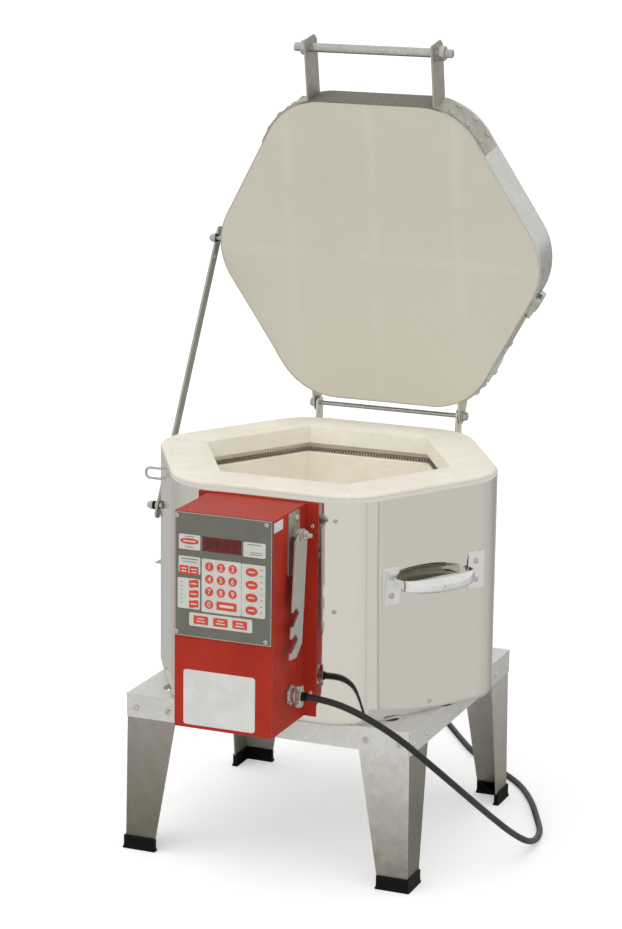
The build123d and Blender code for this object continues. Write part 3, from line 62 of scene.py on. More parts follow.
Colour = tuple[float, float, float]
Point = tuple[float, float, float]
Line = Sequence[float]
Node = bpy.types.Node
Socket = bpy.types.NodeSocket
Tree = bpy.types.NodeTree
Piece = bpy.types.Object
Looks = dict[str, object]


class Slot(Enum):
    """The record's material slots."""

    GALVANISED = "galvanised"
    STAINLESS = "stainless"
    ZINC = "zinc"
    CHROME = "chrome"
    RUBBER = "rubber"
    FIREBRICK = "firebrick"
    COATED_BRICK = "coated_brick"
    PORCELAIN = "porcelain"
    ELEMENT_WIRE = "element_wire"
    RED_PAINT = "red_paint"
    GREY_PLATE = "grey_plate"
    WHITE_PRINT = "white_print"
    RED_PRINT = "red_print"
    RED_WINDOW = "red_window"
    CIRCUIT_BOARD = "circuit_board"
    BLACK_PLASTIC = "black_plastic"
    WHITE_PLASTIC = "white_plastic"
    BRASS = "brass"


class Body(Enum):
    """The bodies that move apart from each other."""

    KILN = "kiln"
    LID = "lid"
    ARM = "arm"
    PROP = "prop"


class Drive(Enum):
    """What a fastener's head carries for its driver."""

    CROSS = "cross"
    NONE = "none"


# ---------------------------------------------------------------- shader graphs


class Graph:
    """Adds and joins the nodes of one shader tree.

    Attributes:
        tree: what the nodes go into.
        coords: the coordinates that its patterns are laid out on, once they are known.
    """

    def __init__(self, tree: Tree) -> None:
        """Keeps the tree."""
        self.tree = tree
        self.coords: Socket | None = None

    def add(self, kind: str, inputs: dict | None = None, **settings: object) -> Node:
        """Adds one node.

        Args:
            kind: Blender's name of the node type.
            inputs: values or sockets for its inputs, by name or number.
            settings: the node's own options.

        Returns:
            The node.
        """
        node = self.tree.nodes.new(kind)
        for name, value in settings.items():
            setattr(node, name, value)
        for name, value in (inputs or {}).items():
            self.feed(node.inputs[name], value)
        return node

    def feed(self, socket: Socket, value: object) -> None:
        """Links a socket to another, or sets its own value."""
        if isinstance(value, Socket):
            self.tree.links.new(value, socket)
        else:
            socket.default_value = value

    def math(self, operation: str, first: object, second: object = 0.0, clamp: bool = False) -> Socket:
        """The result of one Math node."""
        node = self.add("ShaderNodeMath", {0: first, 1: second}, operation=operation, use_clamp=clamp)
        return node.outputs[0]

    def plus(self, first: object, second: object) -> Socket:
        """The sum of two values."""
        return self.math("ADD", first, second)

    def minus(self, first: object, second: object) -> Socket:
        """The first value less the second."""
        return self.math("SUBTRACT", first, second)

    def times(self, first: object, second: object) -> Socket:
        """The product of two values."""
        return self.math("MULTIPLY", first, second)

    def part(self, vector: Socket, axis: str) -> Socket:
        """The X, Y or Z part of a vector."""
        return self.add("ShaderNodeSeparateXYZ", {"Vector": vector}).outputs[axis]

    def facing(self, axis: str) -> Socket:
        """How far the surface faces along an axis."""
        return self.part(self.add("ShaderNodeNewGeometry").outputs["Normal"], axis)

    def noise(self, scale: object, detail: object = 2.0, roughness: float = 0.5,
              distortion: float = 0.0) -> Socket:
        """Noise from 0 to 1."""
        node = self.add("ShaderNodeTexNoise", {"Vector": self.coords, "Scale": scale, "Detail": detail,
                                               "Roughness": roughness, "Distortion": distortion})
        return node.outputs["Fac"]

    def remap(self, value: object, low: float, high: float, new_low: float = 0.0,
              new_high: float = 1.0) -> Socket:
        """A value carried smoothly from one range to another, held at its ends."""
        node = self.add("ShaderNodeMapRange", {"Value": value, "From Min": low, "From Max": high,
                                               "To Min": new_low, "To Max": new_high},
                        interpolation_type="SMOOTHSTEP")
        return node.outputs["Result"]

    def blend(self, factor: object, first: object, second: object) -> Socket:
        """A colour between two colours."""
        node = self.add("ShaderNodeMix", data_type="RGBA")
        for index, value in ((0, factor), (6, first), (7, second)):
            self.feed(node.inputs[index], opaque(value))
        return node.outputs[2]

    def layer(self, mask: object, amount: float, under: object, over: object) -> Socket:
        """A colour laid over another by a mask, at its fullest by the amount."""
        return self.blend(self.times(mask, amount), under, over)

    def bump(self, height: object, depth: float, strength: float = 1.0) -> Socket:
        """A normal pressed in by a height map; depth is in metres."""
        node = self.add("ShaderNodeBump", {"Height": height, "Distance": depth, "Strength": strength})
        return node.outputs["Normal"]

    def effect(self, name: str, **inputs: object) -> Node:
        """Places a shared effect on the graph's coordinates, with its other inputs by name."""
        node = self.add("ShaderNodeGroup")
        node.node_tree = Effects.tree(name)
        for key, value in {"Vector": self.coords, **inputs}.items():
            self.feed(node.inputs[key], value)
        return node

    def tone(self, scale: float, detail: float = 4.0) -> Socket:
        """Soft uneven patches."""
        return self.effect("Cloudy tone", Scale=scale, Detail=detail).outputs["Tone"]

    def streak(self, stretch: Point, scale: float) -> Socket:
        """Long fine streaks."""
        return self.effect("Rolled grain", Stretch=stretch, Scale=scale).outputs["Streak"]

    def smudge(self, scale: float) -> Socket:
        """Broad wiped marks."""
        return self.effect("Hand smudges", Scale=scale).outputs["Smudge"]

    def edge(self, radius: float, strength: float = 1.0) -> Socket:
        """Rubbed outer edges."""
        return self.effect("Edge wear", Radius=radius, Strength=strength).outputs["Edge"]


def opaque(value: object) -> object:
    """A three-part colour with its alpha added; anything else as it is."""
    if isinstance(value, tuple) and len(value) == 3:
        return (*value, 1.0)
    return value


def lid_shut(graph: Graph) -> Socket:
    """The open lid's coordinates turned back about the hinge, as if it were shut."""
    hinge = Vector(HINGE * MM + AXIS)
    turn = Matrix.Rotation(LID_OPEN, 3, "X")
    node = graph.add("ShaderNodeMapping", {"Vector": graph.coords, "Location": hinge - turn @ hinge,
                                           "Rotation": (LID_OPEN, 0.0, 0.0)})
    return node.outputs["Vector"]


def shaded(colour: Colour, factor: float) -> Colour:
    """A colour made lighter or darker by a factor."""
    return tuple(min(1.0, c * factor) for c in colour)


class Effects:
    """The effects that several finishes share, each built once as a node group."""

    @staticmethod
    def tree(name: str) -> Tree:
        """The node group with this name, built at its first use."""
        found = bpy.data.node_groups.get(name)
        if found:
            return found
        return getattr(Effects, name.lower().replace(" ", "_"))(name)

    @staticmethod
    def _start(name: str, values: dict[str, object], outputs: Sequence[str]) -> tuple:
        """Makes an empty group.

        Args:
            name: the group's name.
            values: its inputs and their defaults, next to the Vector that every effect has.
            outputs: the names of its value outputs.

        Returns:
            The graph, and the sockets of its inputs and outputs by name.
        """
        tree = bpy.data.node_groups.new(name, "ShaderNodeTree")
        tree.interface.new_socket("Vector", in_out="INPUT", socket_type="NodeSocketVector")
        for label, value in values.items():
            kind = "NodeSocketFloat" if isinstance(value, float) else "NodeSocketVector"
            tree.interface.new_socket(label, in_out="INPUT", socket_type=kind).default_value = value
        for label in outputs:
            tree.interface.new_socket(label, in_out="OUTPUT", socket_type="NodeSocketFloat")
        graph = Graph(tree)
        given = graph.add("NodeGroupInput").outputs
        graph.coords = given["Vector"]
        return graph, given, graph.add("NodeGroupOutput").inputs

    @staticmethod
    def studio_walls(name: str) -> Tree:
        """How bright the studio is in a direction from the kiln, by its turn round the vertical."""
        graph, given, out = Effects._start(name, {}, ["Level"])
        turn = graph.math("ARCTAN2", graph.part(given["Vector"], "Y"), graph.part(given["Vector"], "X"))
        place = graph.add("ShaderNodeMapRange", {"Value": turn, "From Min": -math.pi, "From Max": math.pi})
        ramp = graph.add("ShaderNodeValToRGB", {"Fac": place.outputs["Result"]})
        stops = ((-180, 0.72), (-150, 0.80), (-118, 0.84), (-100, 1.0), (-45, 1.0), (-27.5, 0.95),
                 (-26, 0.72), (-24, 0.93), (-5.6, 0.93), (-3.8, 0.38), (-2.0, 0.86), (20, 0.85), (45, 0.74),
                 (68, 0.46), (88, 0.56), (100, 0.50), (122, 0.56), (150, 0.62), (180, 0.70))
        elements = ramp.color_ramp.elements
        while len(elements) < len(stops):
            elements.new(0.5)
        for element, (degrees, level) in zip(elements, stops):
            element.position = (degrees + 180.0) / 360.0
            element.color = (level, level, level, 1.0)
        grey = graph.add("ShaderNodeRGBToBW", {"Color": ramp.outputs["Color"]})
        graph.feed(out["Level"], grey.outputs[0])
        return graph.tree

    @staticmethod
    def cloudy_tone(name: str) -> Tree:
        """Soft uneven patches, from 0 to 1."""
        graph, given, out = Effects._start(name, {"Scale": 20.0, "Detail": 4.0}, ["Tone"])
        noise = graph.noise(given["Scale"], given["Detail"], 0.6)
        graph.feed(out["Tone"], graph.remap(noise, 0.3, 0.7))
        return graph.tree

    @staticmethod
    def rolled_grain(name: str) -> Tree:
        """Long fine streaks; Stretch shortens the pattern most along the rolling direction."""
        graph, given, out = Effects._start(name, {"Stretch": (1.0, 1.0, 0.05), "Scale": 900.0}, ["Streak"])
        placed_at = graph.add("ShaderNodeVectorMath", {0: given["Vector"], 1: given["Stretch"]},
                              operation="MULTIPLY")
        graph.coords = placed_at.outputs[0]
        noise = graph.noise(given["Scale"], 3.0, 0.65)
        graph.feed(out["Streak"], graph.remap(noise, 0.25, 0.75))
        return graph.tree

    @staticmethod
    def zinc_spangle(name: str) -> Tree:
        """Crystal patches of hot-dip zinc: a tone for each crystal, and a fine speckle over them."""
        graph, given, out = Effects._start(name, {"Scale": 160.0}, ["Tone", "Speckle"])
        bent = graph.add("ShaderNodeTexNoise", {"Vector": given["Vector"], "Scale": 90.0, "Detail": 2.0})
        moved = graph.add("ShaderNodeVectorMath", {0: bent.outputs["Color"], 1: (0.004, 0.004, 0.004)},
                          operation="MULTIPLY")
        spot = graph.add("ShaderNodeVectorMath", {0: given["Vector"], 1: moved.outputs[0]}, operation="ADD")
        cells = graph.add("ShaderNodeTexVoronoi", {"Vector": spot.outputs[0], "Scale": given["Scale"]})
        split = graph.add("ShaderNodeSeparateColor", {"Color": cells.outputs["Color"]})
        graph.feed(out["Tone"], split.outputs[0])
        graph.feed(out["Speckle"], graph.remap(graph.noise(900.0, 3.0), 0.3, 0.7))
        return graph.tree

    @staticmethod
    def brick_pores(name: str) -> Tree:
        """Cast firebrick: small open pores, a coarse sawn surface and uneven tone."""
        graph, given, out = Effects._start(name, {"Scale": 420.0}, ["Height", "Pore", "Tone"])
        cells = graph.add("ShaderNodeTexVoronoi", {"Vector": given["Vector"], "Scale": given["Scale"]})
        reach = graph.remap(graph.noise(130.0, 3.0), 0.45, 0.7, 0.05, 0.42)
        pore = graph.remap(graph.minus(reach, cells.outputs["Distance"]), 0.0, 0.12)
        grit = graph.times(graph.noise(1100.0, 4.0, 0.7), 0.45)
        graph.feed(out["Height"], graph.minus(grit, pore))
        graph.feed(out["Pore"], pore)
        graph.feed(out["Tone"], graph.remap(graph.noise(14.0, 5.0), 0.3, 0.7))
        return graph.tree

    @staticmethod
    def edge_wear(name: str) -> Tree:
        """Where an outer edge is rubbed: the rounded normal leaves the flat one, broken by noise."""
        graph, given, out = Effects._start(name, {"Radius": 0.0012, "Strength": 1.0}, ["Edge"])
        rounded = graph.add("ShaderNodeBevel", {"Radius": given["Radius"]}, samples=4)
        flat = graph.add("ShaderNodeNewGeometry")
        along = graph.add("ShaderNodeVectorMath", {0: rounded.outputs[0], 1: flat.outputs["Normal"]},
                          operation="DOT_PRODUCT")
        turned = graph.math("SUBTRACT", 1.0, along.outputs["Value"], clamp=True)
        broken = graph.remap(graph.noise(260.0, 4.0), 0.35, 0.65, 0.2, 1.0)
        mask = graph.times(graph.remap(turned, 0.01, 0.16), broken)
        graph.feed(out["Edge"], graph.math("MULTIPLY", mask, given["Strength"], clamp=True))
        return graph.tree

    @staticmethod
    def hand_smudges(name: str) -> Tree:
        """Broad wiped marks that dull a polished surface a little."""
        graph, given, out = Effects._start(name, {"Scale": 9.0}, ["Smudge"])
        noise = graph.noise(given["Scale"], 7.0, 0.6, 0.7)
        graph.feed(out["Smudge"], graph.remap(noise, 0.42, 0.68))
        return graph.tree

    @staticmethod
    def height_fade(name: str) -> Tree:
        """1 at the Low height and 0 at the High one, with a ragged border."""
        graph, given, out = Effects._start(name, {"Low": 0.0, "High": 0.2}, ["Fade"])
        shift = graph.times(graph.minus(graph.noise(55.0, 5.0), 0.5), 0.09)
        level = graph.plus(graph.part(given["Vector"], "Z"), shift)
        node = graph.add("ShaderNodeMapRange", {"Value": level, "From Min": given["Low"],
                                                "From Max": given["High"], "To Min": 1.0, "To Max": 0.0})
        graph.feed(out["Fade"], node.outputs["Result"])
        return graph.tree


# --------------------------------------------------------------------- finishes


@dataclass(frozen=True)
class Finish:
    """A surface finish, made into one material at its first use.

    Attributes:
        name: the material's name.
        slot: the record's slot that it belongs to.
        colour: its main colour.
        roughness: its mean roughness.
    """

    name: str
    slot: Slot
    colour: Colour
    roughness: float

    def material(self) -> bpy.types.Material:
        """The finish as a Blender material."""
        name = self.name + "_finish"
        found = bpy.data.materials.get(name)
        if found:
            return found
        made = bpy.data.materials.new(name)
        made.use_nodes = True
        made.diffuse_color = (*self.colour, 1.0)
        graph = Graph(made.node_tree)
        shader = made.node_tree.nodes["Principled BSDF"]
        shader.inputs["Base Color"].default_value = (*self.colour, 1.0)
        graph.coords = graph.add("ShaderNodeTexCoord").outputs["Object"]
        for socket, value in self.dress(graph).items():
            graph.feed(shader.inputs[socket], value)
        return made

    def dress(self, graph: Graph) -> Looks:
        """What the shader's sockets are given, which each kind of finish works out for itself."""
        raise NotImplementedError

    def shades(self, graph: Graph, factor: object, low: float, high: float) -> Socket:
        """The finish's colour, between two of its own shades."""
        return graph.blend(factor, shaded(self.colour, low), shaded(self.colour, high))

    def rough(self, graph: Graph, tone: object, less: float, more: float) -> Socket:
        """The finish's roughness, from a little less to a little more of it."""
        return graph.remap(tone, 0, 1, self.roughness - less, self.roughness + more)


@dataclass(frozen=True)
class PolishedStainless(Finish):
    """Mirror-polished sheet: faint vertical polishing lines and wiped smudges."""

    def dress(self, graph: Graph) -> Looks:
        """The polishing lines and smudges."""
        smudge = graph.smudge(7.0)
        streak = graph.streak((1.0, 1.0, 0.03), 1400.0)
        marks = graph.plus(graph.times(smudge, 0.035), graph.times(streak, 0.02))
        return {"Metallic": 1.0,
                "Base Color": self.shades(graph, streak, 0.965, 1.02),
                "Roughness": graph.plus(marks, self.roughness),
                "Normal": graph.bump(streak, 0.00001, 0.35)}


@dataclass(frozen=True)
class RimSteel(Finish):
    """The lid's rim band: bright mottled sheet, its front side stained dark where the heat leaves.

    Attributes:
        stain: the places on Y in metres, from the axis, between which the stain fades out.
        stain_dark: the stain's darkest colour.
        stain_pale: its palest colour.
    """

    stain: tuple[float, float] = (-0.2145, -0.2085)
    stain_dark: Colour = (0.035, 0.032, 0.022)
    stain_pale: Colour = (0.22, 0.205, 0.16)

    def dress(self, graph: Graph) -> Looks:
        """The mottle, the dull patches and the stain."""
        spangle = graph.effect("Zinc spangle", Scale=420.0).outputs
        bright = self.shades(graph, spangle["Tone"], 0.9, 1.04)
        steel = graph.layer(graph.tone(18.0, 6.0), 0.3, bright, shaded(self.colour, 0.78))
        start, end = (AXIS[1] + y for y in self.stain)
        front = graph.remap(graph.part(lid_shut(graph), "Y"), start, end, 1.0, 0.0)
        blotch = graph.blend(graph.remap(spangle["Speckle"], 0.25, 0.6), self.stain_dark, self.stain_pale)
        marks = graph.plus(graph.times(spangle["Speckle"], 0.1), graph.times(front, 0.4))
        return {"Base Color": graph.layer(front, 0.9, steel, blotch),
                "Metallic": graph.minus(1.0, graph.times(front, 0.85)),
                "Roughness": graph.plus(marks, self.roughness),
                "Normal": graph.bump(spangle["Speckle"], 0.00003, 0.5)}


@dataclass(frozen=True)
class GalvanisedSheet(Finish):
    """Hot-dip galvanised sheet: crystals and speckle, with painted shade darkening it towards the floor and
    on the faces towards +X.

    Attributes:
        painted_shade: the colour that the painted shade darkens the sheet to.
        fade: the heights in metres between which the painted shade at the foot fades out.
        depth: how much painted shade there is at the foot.
        side_shade: how much painted shade there is on the faces towards +X.
        rubbed: the colour of its rubbed edges.
    """

    painted_shade: Colour = (0.25, 0.245, 0.20)
    fade: tuple[float, float] = (0.01, 0.15)
    depth: float = 0.7
    side_shade: float = 0.0
    rubbed: Colour = (0.8, 0.8, 0.78)

    def dress(self, graph: Graph) -> Looks:
        """The crystals, the handling marks, and the painted shade at the foot and on the +X faces."""
        spangle = graph.effect("Zinc spangle", Scale=230.0).outputs
        low, high = self.fade
        fade = graph.effect("Height fade", Low=low, High=high).outputs["Fade"]
        crystal = self.shades(graph, spangle["Tone"], 0.93, 1.05)
        speckled = graph.layer(spangle["Speckle"], 0.2, crystal, shaded(self.colour, 0.7))
        marked = graph.layer(graph.smudge(16.0), 0.25, speckled, shaded(self.colour, 0.74))
        # Painted shade: the faces towards +X are darkened, standing in for the weaker light on that side.
        side_shaded = graph.blend(graph.remap(graph.facing("X"), 0.6, 0.9, 0.0, self.side_shade), marked, self.painted_shade)
        # Painted shade: darker towards the floor, standing in for the shade and the dim floor reflected near
        # the foot.
        foot_shaded = graph.layer(fade, self.depth, side_shaded, self.painted_shade)
        marks = graph.plus(graph.times(spangle["Tone"], 0.1), graph.times(fade, 0.12))
        return {"Metallic": 0.75,
                "Base Color": graph.blend(graph.edge(0.0012), foot_shaded, self.rubbed),
                "Roughness": graph.plus(marks, self.roughness),
                "Normal": graph.bump(spangle["Speckle"], 0.00004, 0.45)}


@dataclass(frozen=True)
class ZincSteel(Finish):
    """Plated bar and hardware: a drawn grain, darker stains and bright rubbed edges.

    Attributes:
        grain: how the grain is stretched, least along the drawing direction.
        stain: the stains' colour.
        rubbed: the colour of its rubbed edges.
    """

    grain: Point = (1.0, 0.05, 0.05)
    stain: Colour = (0.36, 0.34, 0.28)
    rubbed: Colour = (0.78, 0.78, 0.75)

    def dress(self, graph: Graph) -> Looks:
        """The grain, stains and rubbed edges."""
        streak = graph.streak(self.grain, 1100.0)
        patches = graph.tone(70.0, 6.0)
        stained = graph.layer(patches, 0.35, self.shades(graph, streak, 0.82, 1.06), self.stain)
        return {"Metallic": 0.9,
                "Base Color": graph.blend(graph.edge(0.0008), stained, self.rubbed),
                "Roughness": graph.plus(graph.times(patches, 0.14), self.roughness),
                "Normal": graph.bump(streak, 0.00002, 0.5)}


@dataclass(frozen=True)
class Chrome(Finish):
    """Plated chrome with faint wiping marks."""

    def dress(self, graph: Graph) -> Looks:
        """The wiping marks, and the soft unevenness of the pressing under the plate."""
        smudge = graph.smudge(40.0)
        return {"Metallic": 1.0,
                "Base Color": self.shades(graph, smudge, 1.0, 0.93),
                "Roughness": graph.plus(graph.times(smudge, 0.06), self.roughness),
                "Normal": graph.bump(graph.tone(120.0), 0.00006, 0.4)}


@dataclass(frozen=True)
class Enamel(Finish):
    """Baked enamel: orange peel, settled dust on top and lighter rubbed edges.

    Attributes:
        dust: the dust's colour.
        rubbed: the colour of its rubbed edges.
    """

    dust: Colour = (0.62, 0.5, 0.44)
    rubbed: Colour = (0.72, 0.2, 0.14)

    def dress(self, graph: Graph) -> Looks:
        """The orange peel, the uneven coat, dust and edge wear."""
        tone = graph.tone(22.0)
        settled = graph.times(graph.remap(graph.facing("Z"), 0.6, 1.0), graph.tone(190.0, 6.0))
        dusty = graph.layer(settled, 0.06, self.shades(graph, tone, 0.88, 1.08), self.dust)
        return {"Specular IOR Level": 0.05,
                "Base Color": graph.blend(graph.edge(0.0011, 0.6), dusty, self.rubbed),
                "Roughness": graph.plus(graph.times(tone, 0.08), self.roughness),
                "Normal": graph.bump(graph.noise(520.0), 0.00004, 0.6)}


@dataclass(frozen=True)
class PrintedSheet(Finish):
    """Screen-printed ink or a printed film: a fine dot grain and slight unevenness."""

    def dress(self, graph: Graph) -> Looks:
        """The ink's grain, its tone and a fine embossed surface."""
        cells = graph.add("ShaderNodeTexVoronoi", {"Vector": graph.coords, "Scale": 1800.0})
        grain = cells.outputs["Distance"]
        tone = graph.tone(45.0)
        dots = graph.remap(grain, 0.0, 0.9, 0.0, 0.22)
        ink = self.shades(graph, tone, 0.93, 1.05)
        return {"Specular IOR Level": 0.2,
                "Base Color": graph.blend(dots, ink, shaded(self.colour, 0.8)),
                "Roughness": graph.plus(graph.times(tone, 0.1), self.roughness),
                "Normal": graph.bump(grain, 0.00001, 0.4)}


@dataclass(frozen=True)
class TintedWindow(Finish):
    """A dark red display filter: glossy, with the unlit digit cells just seen behind it.

    Attributes:
        middle: the window's middle in metres.
        cell: half the distance from one digit cell to the next, in millimetres.
    """

    middle: Point = (0.0017, 0.0, 0.4715)
    cell: float = 6.0

    def dress(self, graph: Graph) -> Looks:
        """The unlit cells and a slight mottle."""
        moved = tuple(-value for value in self.middle)
        centred = graph.add("ShaderNodeMapping", {"Vector": graph.coords, "Location": moved}).outputs[0]
        across = graph.math("PINGPONG", graph.times(graph.part(centred, "X"), 1000.0), self.cell)
        row = graph.remap(graph.math("ABSOLUTE", graph.part(centred, "Z")), 0.0062, 0.0068, 1.0, 0.0)
        cells = graph.times(graph.remap(across, 1.2, 2.2), row)
        tone = graph.tone(80.0)
        dark = self.shades(graph, tone, 0.8, 1.15)
        return {"Specular IOR Level": 0.25,
                "Base Color": graph.layer(cells, 0.5, dark, shaded(self.colour, 0.55)),
                "Roughness": self.rough(graph, tone, 0.0, 0.08)}


@dataclass(frozen=True)
class Firebrick(Finish):
    """Soft insulating firebrick: open pores, sawn grit, warm and pale patches, worn edges.

    Attributes:
        warmth: the warm patches' colour.
        chipped: the colour of its worn edges.
    """

    warmth: Colour = (0.80, 0.71, 0.53)
    chipped: Colour = (0.9, 0.87, 0.79)

    def dress(self, graph: Graph) -> Looks:
        """The pores, painted darker as the shade in them, the grit, tone and pale chipped edges."""
        pores = graph.effect("Brick pores", Scale=420.0).outputs
        base = self.shades(graph, pores["Tone"], 1.0, 1.06)
        toned = graph.layer(graph.tone(30.0, 6.0), 0.35, base, self.warmth)
        # Painted shade: the pores are darkened where shade falls in them.
        pitted = graph.layer(pores["Pore"], 0.32, toned, shaded(self.warmth, 0.7))
        return {"Specular IOR Level": 0.2,
                "Base Color": graph.blend(graph.edge(0.0025, 0.7), pitted, self.chipped),
                "Roughness": self.rough(graph, pores["Tone"], 0.05, 0.04),
                "Normal": graph.bump(pores["Height"], 0.0004, 0.55)}


@dataclass(frozen=True)
class CoatedBrick(Finish):
    """The lid's brick slab under a brushed coating, its joints showing as paler bands.

    The pattern is laid out on the shut lid, so the coordinates are turned back from the open one.

    Attributes:
        joints: the places on X in metres, from the axis, of the joints that run front to back.
        cross_joint: the place on Y of the joint that runs across.
        paler: the colour of the coating over the joints.
    """

    joints: tuple[float, ...] = (-0.127, -0.004, 0.121)
    cross_joint: float = 0.004
    paler: Colour = (0.76, 0.74, 0.67)

    def dress(self, graph: Graph) -> Looks:
        """The paler joints, brush marks, pores painted darker as shade, and a tone darker towards the front
        edge.
        """
        graph.coords = shut = lid_shut(graph)
        x, y = graph.part(shut, "X"), graph.part(shut, "Y")
        drift = graph.times(graph.minus(graph.noise(11.0, 3.0), 0.5), 0.012)
        across = graph.plus(x, drift)
        along = graph.plus(graph.minus(y, AXIS[1] + self.cross_joint), drift)
        bands = graph.remap(graph.math("ABSOLUTE", along), 0.002, 0.012, 1.0, 0.0)
        for joint in self.joints:
            away = graph.math("ABSOLUTE", graph.minus(across, AXIS[0] + joint))
            bands = graph.math("MAXIMUM", bands, graph.remap(away, 0.002, 0.011, 1.0, 0.0))
        patchy = graph.tone(16.0, 5.0)
        brush = graph.streak((1.0, 0.06, 1.0), 420.0)
        pores = graph.effect("Brick pores", Scale=520.0).outputs
        # Darker towards the slab's front edge, which is the open lid's top.
        darker_to_front = self.shades(graph, graph.remap(y, AXIS[1] - 0.2, AXIS[1] + 0.2), 0.93, 1.06)
        base = graph.layer(patchy, 0.35, darker_to_front, shaded(self.colour, 1.03))
        brushed = graph.layer(brush, 0.12, base, shaded(self.colour, 0.86))
        # Painted shade: the pores are darkened where shade falls in them.
        pored = graph.layer(pores["Pore"], 0.12, brushed, shaded(self.colour, 0.7))
        height = graph.plus(graph.times(pores["Height"], 0.4), graph.times(brush, 0.5))
        return {"Specular IOR Level": 0.25,
                "Base Color": graph.layer(graph.times(bands, patchy), 0.3, pored, self.paler),
                "Roughness": self.rough(graph, patchy, 0.06, 0.06),
                "Normal": graph.bump(height, 0.00018, 0.6)}


@dataclass(frozen=True)
class MouldedRubber(Finish):
    """Black rubber: a matt mould grain with paler scuffs on the edges."""

    scuffed: Colour = (0.12, 0.12, 0.115)

    def dress(self, graph: Graph) -> Looks:
        """The mould grain and scuffs."""
        tone = graph.tone(90.0)
        base = self.shades(graph, tone, 0.6, 1.3)
        return {"Specular IOR Level": 0.12,
                "Base Color": graph.blend(graph.edge(0.0015, 0.5), base, self.scuffed),
                "Roughness": self.rough(graph, tone, 0.06, 0.08),
                "Normal": graph.bump(graph.noise(900.0, 4.0), 0.00008, 0.5)}


@dataclass(frozen=True)
class OxidisedWire(Finish):
    """Fired resistance wire: a dark grey oxide with lighter worn turns."""

    worn: Colour = (0.33, 0.29, 0.24)

    def dress(self, graph: Graph) -> Looks:
        """The patchy oxide, smoother where it is worn."""
        tone = graph.tone(260.0, 5.0)
        return {"Metallic": 0.55,
                "Base Color": graph.blend(tone, shaded(self.colour, 0.65), self.worn),
                "Roughness": self.rough(graph, tone, -0.15, -0.08)}


@dataclass(frozen=True)
class MouldedPart(Finish):
    """Moulded plastic, board or glazed stock with a fine grain.

    Attributes:
        grain_depth: the grain's depth in metres.
        sheen: the shader's specular level.
    """

    grain_depth: float = 0.00003
    sheen: float = 0.25

    def dress(self, graph: Graph) -> Looks:
        """A fine grain, a slight mottle and paler edges."""
        tone = graph.tone(75.0)
        base = self.shades(graph, tone, 0.86, 1.1)
        return {"Specular IOR Level": self.sheen,
                "Base Color": graph.blend(graph.edge(0.0006, 0.5), base, shaded(self.colour, 1.35)),
                "Roughness": self.rough(graph, tone, 0.05, 0.07),
                "Normal": graph.bump(graph.noise(700.0, 3.0), self.grain_depth, 0.5)}


CASE_STEEL = PolishedStainless("polished_stainless", Slot.STAINLESS, (0.70, 0.68, 0.625), 0.045)
RIM_STEEL = RimSteel("rim_steel", Slot.STAINLESS, (0.65, 0.65, 0.63), 0.26)
ZINC_SHEET = GalvanisedSheet("galvanised_sheet", Slot.GALVANISED, (0.74, 0.74, 0.72), 0.34)
LEG_ZINC = GalvanisedSheet("leg_sheet", Slot.GALVANISED, (0.76, 0.755, 0.73), 0.30, (0.19, 0.185, 0.14),
                           (0.015, 0.21), 0.85, 0.9)
# Painted shade: a darker copy of the leg sheet for the front left leg, which stands in more shade.
SHADED_LEG_ZINC = GalvanisedSheet("shaded_leg_sheet", Slot.GALVANISED, (0.40, 0.385, 0.345), 0.33,
                                (0.12, 0.115, 0.08), (0.02, 0.22), 0.75)
# Painted shade: a darker copy of the leg sheet for the rear legs, which stand in the kiln's shade.
REAR_LEG_ZINC = GalvanisedSheet("rear_leg_sheet", Slot.GALVANISED, (0.62, 0.61, 0.56), 0.33,
                                (0.22, 0.21, 0.16), (0.01, 0.2), 0.6)
PROP_ZINC = GalvanisedSheet("prop_sheet", Slot.GALVANISED, (0.49, 0.49, 0.455), 0.38, depth=0.0)
PLATED_BAR = ZincSteel("plated_bar", Slot.ZINC, (0.47, 0.462, 0.395), 0.36)
POST_ZINC = ZincSteel("post_zinc", Slot.ZINC, (0.86, 0.85, 0.76), 0.42)
# Painted shade: a darker, duller metal laid inside the chrome grips, for the shade in their channels.
GRIP_SHADE_LINING = ZincSteel("grip_shade_lining", Slot.CHROME, (0.58, 0.60, 0.55), 0.4)
PLATED_HARDWARE = ZincSteel("plated_hardware", Slot.ZINC, (0.58, 0.58, 0.565), 0.2, (0.3, 0.3, 0.3))
BRIGHT_HARDWARE = ZincSteel("bright_hardware", Slot.ZINC, (0.72, 0.72, 0.70), 0.17, (0.3, 0.3, 0.3))
BRIGHT_CHROME = Chrome("bright_chrome", Slot.CHROME, (0.80, 0.80, 0.80), 0.09)
RED_ENAMEL = Enamel("red_enamel", Slot.RED_PAINT, (0.43, 0.036, 0.021), 0.34)
GREY_PANEL = PrintedSheet("grey_panel", Slot.GREY_PLATE, (0.165, 0.165, 0.142), 0.42)
WHITE_INK = PrintedSheet("white_ink", Slot.WHITE_PRINT, (0.66, 0.655, 0.62), 0.45)
RED_INK = PrintedSheet("red_ink", Slot.RED_PRINT, (0.66, 0.085, 0.04), 0.42)
BLANK_FILM = PrintedSheet("blank_film", Slot.WHITE_PLASTIC, (0.74, 0.74, 0.725), 0.45)
WINDOW = TintedWindow("tinted_window", Slot.RED_WINDOW, (0.135, 0.020, 0.018), 0.2)
BRICK = Firebrick("firebrick", Slot.FIREBRICK, (0.875, 0.845, 0.765), 0.93)
HOT_FACE_COAT = CoatedBrick("coated_brick", Slot.COATED_BRICK, (0.675, 0.645, 0.555), 0.86)
RUBBER = MouldedRubber("moulded_rubber", Slot.RUBBER, (0.004, 0.004, 0.0036), 0.55)
CORD_JACKET = MouldedPart("cord_jacket", Slot.RUBBER, (0.016, 0.0165, 0.016), 0.36, sheen=0.3)
